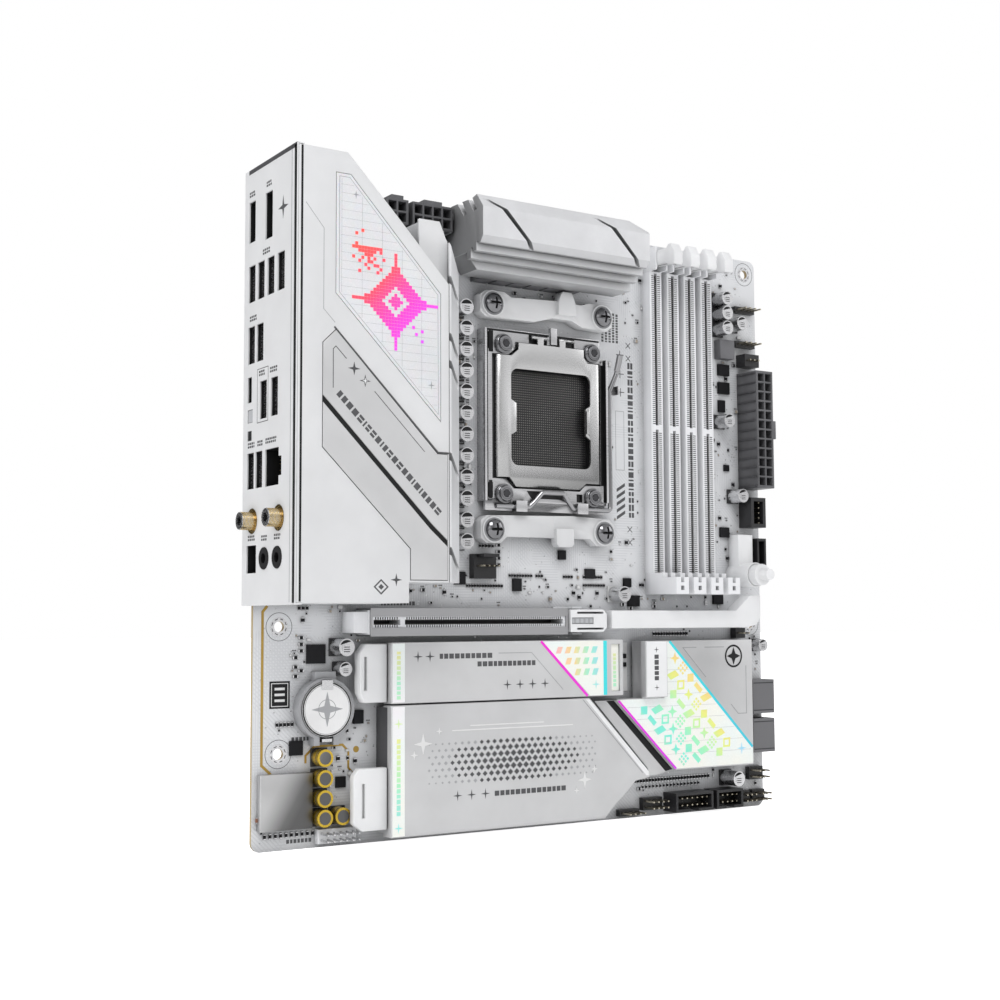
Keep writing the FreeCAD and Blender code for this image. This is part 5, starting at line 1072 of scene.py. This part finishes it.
# painted shade: a dark sheet along the left wall of the lower plate
part = Piece("drive_lower_wall_shade", "dark_plastic")
wall_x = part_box("m2_heatsink_lower")[0][0] * 1000.0 + ORIGIN_X
part.box(wall_x - 0.08, wall_x + 0.3, 0.4, h - 3.2, 21.0, 50.0, "dark_liner")
part.build()

# ---------------------------------------------------------------- chipset cover
part = Piece("chipset_print", "silver_metal")
COVER_H = 9.0
ink, over = ink_on(COVER_H), second_ink(COVER_H)
line = (COVER_H - 0.02, COVER_H + 0.045)
FILM = [(157.2, 49.3), (187.4, 19.9), (230.0, 19.9), (230.0, 26.4), (184.0, 72.8),
        (181.2, 72.8), (181.2, 49.3)]
part.prism(FILM, *ink, "film")
part.stroke([(157.2, 49.0), (187.0, 19.9)], 1.0, *line, "magenta_line")
part.prism([(152.4, 49.0), (156.3, 49.0), (186.7, 19.6), (182.9, 18.9)], 6.98, 7.04, "black_print")
part.stroke([(184.3, 72.9), (229.9, 26.9)], 1.2, *line, "cyan_line")

along, across = Vector((0.705, -0.71)), Vector((0.71, 0.705))
GLYPH, GLYPH_HALF, GLYPH_PITCH = 5.0, 2.6, 5.9
GLYPH_KINDS = ("diamond", "bar", "slant", "outline", "star", "dots")


def glyph(kind, start):
    def at(*points):
        return turned(start, along, across, points, GLYPH)
    if kind == "diamond":
        part.prism(at((0.5, 0.5), (0.96, 0.0), (0.5, -0.5), (0.04, 0.0)), *over, "pastel")
    elif kind == "bar":
        part.stroke(at((0.02, 0.0), (0.98, 0.0)), GLYPH * 0.42, *over, "pastel")
    elif kind == "slant":
        part.prism(at((0.0, -0.46), (0.62, -0.46), (1.0, 0.46), (0.38, 0.46)), *over, "pastel")
    elif kind == "outline":
        part.stroke(at((0.5, 0.46), (0.92, 0.0), (0.5, -0.46), (0.08, 0.0)),
                    GLYPH * 0.17, *over, "pastel", closed=True)
    elif kind == "star":
        part.star(*at((0.5, 0.0))[0], GLYPH * 0.52, *over, "pastel", 0.28)
    else:
        for a in (0.2, 0.5, 0.8):
            for b in (-0.32, 0.0, 0.32):
                part.prism(at((a - 0.1, b - 0.1), (a + 0.1, b - 0.1), (a + 0.1, b + 0.1),
                              (a - 0.1, b + 0.1)), *over, "pastel")


# slanting rows of glyphs: x, z, count; those that would leave the film are skipped
number = 0
for x, z, count in ((162.2, 46.6, 6), (168.6, 46.4, 8), (175.6, 46.6, 8), (183.6, 45.4, 8),
                    (184.2, 52.6, 8), (184.2, 60.6, 8), (185.4, 67.6, 5)):
    place = Vector((x, z))
    for _ in range(count):
        corners = turned(place, along, across, ((0, GLYPH_HALF), (0, -GLYPH_HALF),
                                                (GLYPH, GLYPH_HALF), (GLYPH, -GLYPH_HALF)))
        if all(inside(FILM, *corner) for corner in corners):
            glyph(GLYPH_KINDS[number % 6], place)
        number += 1
        place = place + along * GLYPH_PITCH
part.star(223.6, 26.6, 2.7, *over, "pastel_upper")
for points in ([(199.0, 70.2), (191.6, 70.2), (204.0, 57.6)], [(203.5, 70.2), (214.5, 70.2)],
               [(226.8, 62.0), (226.8, 41.5), (222.0, 41.5), (218.0, 45.6)]):
    part.stroke(points, 0.24, *ink, "ink_light")
part.ring(219.8, 66.2, 4.1, 4.9, *ink, "black_print", 40)
part.star(219.8, 66.2, 3.8, *ink, "black_print", 0.3)
part.hatch(inset(ccw(FILM), 0.8), [26.0 + i * 5.0 for i in range(9)], True, range(628, 920),
           0.08, COVER_H + 0.02, COVER_H + 0.04)
h = top("chipset_heatsink")
part.box(169.7, 180.3, h - 0.02, h + 0.01, 50.3, 72.9, "plate_light")
part.dashes(174.9, 57.0, ALONG_Z, 5, 2.0, 2.2, *ink_on(h), "ink", 0.25, 0.45)
for z in (54.0, 69.6):
    part.star(174.9, z, 1.3, *ink_on(h), "ink")
part.build()

# ---------------------------------------------------------------- rear panel print
PANEL = (-3.13, -3.09)               # x of the print layer
part = Piece("rear_panel_print", "shield_metal")
# blocks of short bars: h0, h1, z0, z1
for h0, h1, z0, z1 in (
        (0.9, 6.1, 236.0, 238.4), (15.8, 20.4, 236.4, 238.6), (13.0, 19.0, 212.4, 215.0),
        (2.0, 8.0, 190.0, 192.6), (10.5, 15.5, 169.0, 171.0), (20.0, 26.0, 169.0, 171.0),
        (1.2, 7.0, 144.0, 145.8), (9.6, 14.0, 144.0, 145.8), (16.6, 26.0, 144.2, 146.2),
        (2.0, 8.0, 110.6, 112.4), (13.6, 18.4, 110.2, 112.0), (24.4, 29.6, 110.2, 112.0)):
    for z in steps(z0, z1 - 0.5, 1.15):
        h = h0
        while h < h1 - 0.5:
            length = 0.9 + RND.random() * 0.6
            part.box(*PANEL, h, min(h1, h + length), z, z + 0.75, "ink")
            h += length + 0.4
corners = ((9.2, 152.4), (9.2, 171.6), (18.4, 171.6), (18.4, 152.4))
for (ha, za), (hb, zb) in zip(corners, corners[1:] + corners[:1]):
    part.box(*PANEL, min(ha, hb) - 0.12, max(ha, hb) + 0.12,
             min(za, zb) - 0.12, max(za, zb) + 0.12, "ink")
# four-pointed star in eight slices
rim = [polar(226.0, 30.0, 1.0 if i % 2 else 4.2, math.pi / 4 * i) for i in range(9)]
for (za, ha), (zb, hb) in zip(rim, rim[1:]):
    part.rings([[(x, ha, za), (x, hb, zb), (x, 30.0, 226.0)] for x in PANEL], "ink")
part.box(*PANEL, 39.2, 41.0, 88.2, 245.6, "black_print")
shield_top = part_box("io_shield")[1][2] * 1000.0 + ORIGIN_Z
# painted shade on the top end of the rear panel
part.box(*PANEL, 0.3, 41.0, shield_top - 1.7, shield_top - 0.1, "dark_liner")
part.box(*PANEL, 36.9, 37.2, 88.4, 245.4, "ink_light")
part.build()

# ---------------------------------------------------------------- rear port tongues and linings
part = Piece("rear_port_inserts", "dark_plastic")
for (z0, z1), floors in PORT_COLUMNS:
    for h0 in floors:
        h1 = h0 + PORT_HEIGHT
        mid = (h0 + h1) / 2
        part.box(0.5, 10.0, mid + 0.2, mid + 1.9, z0 + 0.9, z1 - 0.9, "dark_liner", 0.1)
        for z in spread(z0 + 2.6, z1 - 2.6, 4):
            part.box(1.0, 9.0, mid + 0.05, mid + 0.22, z - 0.5, z + 0.5, "gold")
        for span in ((h0 + 0.02, h0 + 0.16, z0 + 0.1, z1 - 0.1),
                     (h1 - 0.16, h1 - 0.02, z0 + 0.1, z1 - 0.1),
                     (h0, h1, z0 + 0.02, z0 + 0.16), (h0, h1, z1 - 0.16, z1 - 0.02)):
            part.box(-1.6, 9.5, *span, "tinned")
for h0, h1, z0, z1 in ((0.9, 6.1, 219.2, 234.0), (15.2, 21.0, 217.6, 234.2)):
    mid = (h0 + h1) / 2
    part.box(0.5, 10.0, mid - 0.6, mid + 0.6, z0 + 2.2, z1 - 2.2, "dark_liner", 0.1)
    for z in spread(z0 + 3.2, z1 - 3.2, 10):
        part.box(1.0, 9.0, mid + 0.55, mid + 0.72, z - 0.18, z + 0.18, "gold")
part.box(1.0, 10.0, 2.1, 2.7, 161.8, 168.4, "dark_liner", 0.1)
for i in range(8):
    z = 131.4 + i * 1.2
    part.box(2.0, 9.5, 17.4, 18.2, z - 0.2, z + 0.2, "gold")
for h in (16.0, 27.0):
    part.ring_x(-3.35, -1.0, h, 104.0, 1.9, 2.6, "tinned")
# antenna jacks: collar and thread
for h in (5.3, 27.8):
    part.ring_x(-3.2, -2.4, h, 117.6, 3.15, 4.4, "gold")
    for i in range(9):
        part.ring_x(-7.6 + i * 0.5, -7.36 + i * 0.5, h, 117.6, 2.9, 3.22, "gold", 24)
part.build()

# ---------------------------------------------------------------- power and header contacts
part = Piece("power_contacts", "dark_plastic")
for x, z in POWER_CONTACTS:
    part.block(x, z, 0.42, 0.42, 3.4, 9.2, "gold", 0.1)
for i in range(13):
    z = 140.4 + 4.18 * i
    part.box(231.95, 232.42, 0.6, 12.2, z - 0.25, z + 0.25, "dark_liner", 0.05)
for i in range(6):
    part.box(59.0 + 3.3 * i, 59.5 + 3.3 * i, 0.6, 12.2, 231.5, 231.95, "grey_moulding", 0.05)
part.build()

part = Piece("header_pins", "screw_steel")


def pins(header, height, material="pin"):
    for x, z in grid(*header):
        part.block(x, z, 0.32, 0.32, 0.3, height, material, 0.12)


pins((25.0, 40.2, 1.6, 6.3, 6, 2), 8.5, "tinned")
part.box(24.85, 40.35, 0.02, 2.75, 1.45, 6.75, "slot_moulding", 0.15)
for header, height in (
        ((162.2, 172.4, 1.2, 3.8, 4, 1), 8.5), ((174.4, 184.6, 2.8, 7.9, 4, 2), 8.5),
        (HEADER_7X2, 7.0), (HEADER_5X2, 7.0),
        ((226.0, 233.6, 2.4, 7.5, 3, 2), 8.5), ((235.2, 242.4, 2.4, 7.5, 3, 2), 8.5),
        ((233.6, 241.6, 12.0, 17.4, 3, 2), 8.5), (HEADER_2X5, 6.6),
        ((92.0, 101.0, 99.6, 107.0, 4, 1), 8.5), ((229.8, 241.2, 203.4, 206.2, 4, 1), 8.5),
        ((229.8, 241.2, 219.0, 221.8, 4, 1), 8.5), ((226.2, 231.6, 73.8, 78.2, 2, 1), 8.0),
        ((232.6, 240.0, 194.8, 199.6, 3, 1), 8.0)):
    pins(header, height)
part.build()

part = Piece("drive_port_tongues", "dark_plastic")
for z0, z1 in ((24.2, 38.8), (41.0, 55.6)):
    for h in (2.6, 6.2):
        part.box(243.0, 243.62, h - 0.5, h + 0.5, z0 + 2.0, z1 - 2.0, "dark_moulding")
    part.box(231.6, 243.2, 8.3, 8.46, z0 + 1.2, z0 + 1.6, "shadow_gap")
    part.box(231.6, 243.2, 8.3, 8.46, z1 - 1.6, z1 - 1.2, "shadow_gap")
part.build()

# ---------------------------------------------------------------- capacitors
part = Piece("capacitor_marks", "silver_can")


def can_top(x, z, r, h, start=0.9, sweep=1.9):
    """Black segment and short lines printed on top of a can."""
    ink = ink_on(h)
    part.prism([polar(x, z, r, start + sweep * i / 12) for i in range(13)], *ink, "black_print")
    for i in range(3):
        part.box(x - r * 0.45, x + r * 0.45, *ink,
                 z - r * 0.62 + i * r * 0.3, z - r * 0.5 + i * r * 0.3, "ink")
    for i in range(4):
        part.box(x - r * 0.72, x - r * 0.6, h - 0.02, h + 0.02,
                 z - r * 0.4 + i * r * 0.2, z - r * 0.3 + i * r * 0.2, "ink_light")


for x, z in VRM_CAPACITORS:
    can_top(x, z, 2.75, 8.2, start=0.5, sweep=2.3)
# x, z, radius, height
for x, z, r, h in ((33.4, 72.4, 3.2, 8.4), (34.2, 64.4, 2.6, 6.0), (221.0, 223.6, 3.1, 7.6),
                   (221.0, 217.0, 3.1, 7.6), (221.0, 210.4, 3.1, 7.6), (229.6, 213.2, 3.1, 7.6),
                   (228.4, 136.2, 3.0, 7.6), (221.2, 169.1, 3.0, 7.6), (161.8, 92.6, 3.2, 8.0),
                   (221.6, 13.6, 3.2, 9.4), (239.6, 70.6, 2.6, 6.4)):
    can_top(x, z, r * 0.86, h)
    part.block(x, z, r + 0.12, r + 0.12, 0.0, 0.75,
               "lamp_board" if 40 < x < 200 else "dark_moulding", 0.1)
for x, z in VRM_CAPACITORS:
    part.block(x, z, 3.25, 3.25, 0.0, 0.75, "dark_moulding", 0.1)
# sleeved audio capacitors
for x, z in ((26.2, 32.5), (26.2, 25.1), (26.2, 17.9), (26.2, 10.9), (33.5, 11.2)):
    part.disc(x, z, 2.3, 5.88, 5.93, "shield_can", 28)
    part.ring(x, z, 3.12, 3.22, 4.2, 4.55, "ink", 28)
    part.ring(x, z, 3.12, 3.22, 1.2, 1.5, "ink", 28)
    part.block(x, z, 3.3, 3.3, 0.0, 0.7, "dark_moulding", 0.1)
part.build()

# ---------------------------------------------------------------- coin cell: rings, star, clips
part = Piece("cell_detail", "cell_steel")
cell_centre = (27.2, 50.0)
part.ring(*cell_centre, 8.9, 9.1, 5.08, 5.14, "ink_light", 48)
part.ring(*cell_centre, 3.4, 3.6, 5.08, 5.13, "ink_light", 40)
part.star(*cell_centre, 6.4, 5.08, 5.12, "plate_dark", 0.2)
part.ring(*cell_centre, 9.35, 9.9, 5.0, 5.1, "tinned", 56)
part.box(25.0, 29.4, 5.06, 5.4, 57.2, 60.6, "tinned", 0.1)
part.box(25.2, 29.2, 0.3, 5.2, 38.2, 39.4, "tinned", 0.1)
part.build()

# ---------------------------------------------------------------- screw drives
part = Piece("screw_drives", "screw_steel")
for z in (207.63, 117.63):           # cooler: cross recess and washer line
    for x in (98.78, 152.78):
        # painted shade: the floor of the cross recess is painted black
        part.block(x, z, 0.4, 2.3, 7.55, 7.75, "black_print")
        part.block(x, z, 2.3, 0.4, 7.55, 7.75, "black_print")
        part.ring(x, z, 3.92, 4.7, 6.58, 6.72, "ink_light", 36)
h = top("socket_screws")
for z in (192.0, 132.0):             # socket: six-lobed recess
    for x in (104.0, 147.5):
        angles = [2 * math.pi * i / 24 for i in range(24)]
        part.prism([polar(x, z, 1.45 + 0.32 * math.cos(6 * a), a) for a in angles],
                   h - 0.01, h + 0.03, "shadow_gap")
part.build()

# ---------------------------------------------------------------- solder side
part = Piece("solder_side")
BACK = -THICKNESS


def joint(x, z, r):
    part.disc(x, z, r, BACK - 0.55, BACK + 0.01, "tinned", 10)


for slot_x in MEMORY_X:
    for i in range(120):
        joint(slot_x - 1.2 if i % 2 else slot_x + 1.2, 102.0 + i * 1.06, 0.3)
for x, z in POWER_CONTACTS:
    joint(x, z, 1.1)
for i in range(80):
    joint(44.0 + i * 1.05, 80.0 if i % 2 else 83.0, 0.3)
for (z0, z1), _ in PORT_COLUMNS:
    for z in spread(z0 + 0.8, z1 - 0.8, 9):
        for x in (6.0, 9.5, 13.0):
            joint(x, z, 0.45)
for header in ((25.0, 40.2, 1.6, 6.6, 6, 2), HEADER_7X2, HEADER_5X2,
               (226.0, 242.0, 2.4, 7.5, 6, 2), HEADER_2X5):
    for x, z in grid(*header):
        joint(x, z, 0.6)
for x, z in HOLES:
    part.ring(x, z, 1.98, 4.0, BACK - 0.035, BACK + 0.01, "tinned")
# vias clear of the cooler backplate and the holes
for _ in range(420):
    x, z = RND.uniform(4, 240), RND.uniform(4, 240)
    if not (90 < x < 162 and 108 < z < 218
            or any((x - hx) ** 2 + (z - hz) ** 2 < 34 for hx, hz in HOLES)):
        part.ring(x, z, 0.14, 0.34, BACK - 0.02, BACK + 0.01, "tinned", 8)
# small capacitors in rows behind the socket and the rear power stage
for i in range(12):
    for j in range(6):
        part.block(114.0 + i * 2.2, 152.0 + j * 4.0, 0.5, 0.25, BACK - 0.5, BACK, "ceramic", 0.04)
for i in range(22):
    part.box(70.0, 71.6, BACK - 0.6, BACK, 112.0 + i * 4.3, 112.8 + i * 4.3, "ceramic", 0.05)
part.build()

# ---------------------------------------------------------------- floor, metres from here on
FLOOR_Z, FLOOR_HALF = -0.08001, 6
mat = Material("floor")
white = mat.mix(mat.remap(mat.noise(3.0, detail=2.0), to=(0, 1)),
                (0.93, 0.93, 0.93), (0.95, 0.95, 0.95))
glossy = mat.node("ShaderNodeLightPath").outputs["Is Glossy Ray"]
mat.put("Base Color", mat.mix(glossy, white, (0.70, 0.70, 0.70)))
mat.put("Roughness", 0.9)
mat.put("Specular IOR Level", 0.1)
mat.put("Emission Color", white)
# the floor glows near white to the camera, and less in reflections and on the parts
rays = mat.node("ShaderNodeLightPath").outputs
mat.put("Emission Strength", mat.math(
    "ADD", mat.remap(rays["Is Camera Ray"], to=(0.22, 0.98), of=(0.0, 1.0)),
    mat.math("MULTIPLY", rays["Is Glossy Ray"], 0.22)))
mesh = bpy.data.meshes.new("floor")
mesh.from_pydata([(x * FLOOR_HALF, y * FLOOR_HALF, FLOOR_Z)
                  for x, y in ((-1, -1), (1, -1), (1, 1), (-1, 1))], [], [(0, 1, 2, 3)])
mesh.materials.append(MATERIALS["floor"])
floor = bpy.data.objects.new("floor", mesh)
scene = bpy.context.scene
scene.collection.objects.link(floor)

# ---------------------------------------------------------------- world
world = bpy.data.worlds.new("studio")
scene.world = world
world.use_nodes = True
studio = Shader(world.node_tree)
rays = studio.node("ShaderNodeLightPath").outputs
sky = studio.node("ShaderNodeTexCoord").outputs["Generated"]


def panel(direction, of, amount):
    """Strength seen by glossy rays, rising to `amount` toward a direction."""
    dot = studio.node("ShaderNodeVectorMath", operation="DOT_PRODUCT")
    dot.inputs[1].default_value = direction
    studio.feed(dot.inputs[0], sky)
    return studio.math("MULTIPLY", rays["Is Glossy Ray"],
                       studio.remap(dot.outputs["Value"], to=(0.0, amount), of=of))


# brightness from below to above
height = studio.math("MULTIPLY_ADD", studio.split(sky)[2], 0.5, 0.5)
brightness = studio.ramp(height, [(position, (v, v, v * 1.01)) for position, v in (
    (0.30, 0.10), (0.46, 0.30), (0.53, 0.52), (0.62, 0.80), (0.85, 1.0))])
# metals see a darker studio behind the board on the left
dimming = panel((-0.60, 0.80, 0.05), of=(0.72, 0.95), amount=0.90)
strength = studio.math("MULTIPLY", studio.math("SUBTRACT", 1.0, dimming), 0.60)
# and two light panels before it, one on the right and one on the left
for direction, of, amount in (((0.54, -0.83, 0.12), (0.78, 0.97), 0.62),
                              ((-0.80, -0.58, 0.15), (0.86, 0.97), 1.1)):
    strength = studio.math("ADD", strength, panel(direction, of, amount))
lit, seen = (studio.node("ShaderNodeBackground") for _ in range(2))
for background, colour, power in ((lit, brightness, strength), (seen, (1, 1, 1), 1.0)):
    studio.feed(background.inputs[0], colour)
    studio.feed(background.inputs[1], power)
mix = studio.node("ShaderNodeMixShader")
for socket, value in zip(mix.inputs, (rays["Is Camera Ray"], lit.outputs[0], seen.outputs[0])):
    studio.feed(socket, value)
studio.feed(studio.node("ShaderNodeOutputWorld").inputs[0], mix.outputs[0])

# ---------------------------------------------------------------- lights
LIGHT_AIM = Vector((0.11, 0.0, 0.04))
# name, place, size, watts
for name, place, size, watts in (("key", (-0.35, -0.85, 1.05), (0.6, 0.6), 6.2),
                                 ("fill", (1.35, -0.35, 0.55), (0.7, 0.7), 2.2),
                                 ("side", (-1.2, -0.25, 0.35), (0.6, 0.9), 3.6),
                                 ("back", (0.4, 1.2, 0.8), (1.0, 0.8), 4.5)):
    light = bpy.data.lights.new(name, "AREA")
    light.shape = "RECTANGLE"
    light.size, light.size_y = size
    light.energy = watts
    lamp = bpy.data.objects.new(name, light)
    lamp.location = place
    lamp.rotation_euler = (LIGHT_AIM - Vector(place)).to_track_quat("-Z", "Y").to_euler()
    scene.collection.objects.link(lamp)

# ---------------------------------------------------------------- camera
CAMERA_PLACE = (-0.227449, -0.500900, 0.002405)
yaw, pitch, roll = (math.radians(v) for v in (32.89717, 4.56601, -0.23723))
lens = bpy.data.cameras.new("camera")
lens.sensor_width = 36.0
lens.lens = 53.767
lens.clip_start, lens.clip_end = 0.01, 30.0
camera = bpy.data.objects.new("camera", lens)
forward = Vector((math.sin(yaw) * math.cos(pitch), math.cos(yaw) * math.cos(pitch),
                  math.sin(pitch)))
level = Vector((math.cos(yaw), -math.sin(yaw), 0))
upright = level.cross(forward)
right = level * math.cos(roll) + upright * math.sin(roll)
up = upright * math.cos(roll) - level * math.sin(roll)
rows = [(right[i], up[i], -forward[i], CAMERA_PLACE[i]) for i in range(3)]
camera.matrix_world = Matrix((*rows, (0, 0, 0, 1)))
scene.collection.objects.link(camera)
scene.camera = camera
scene.view_settings.view_transform = "Standard"
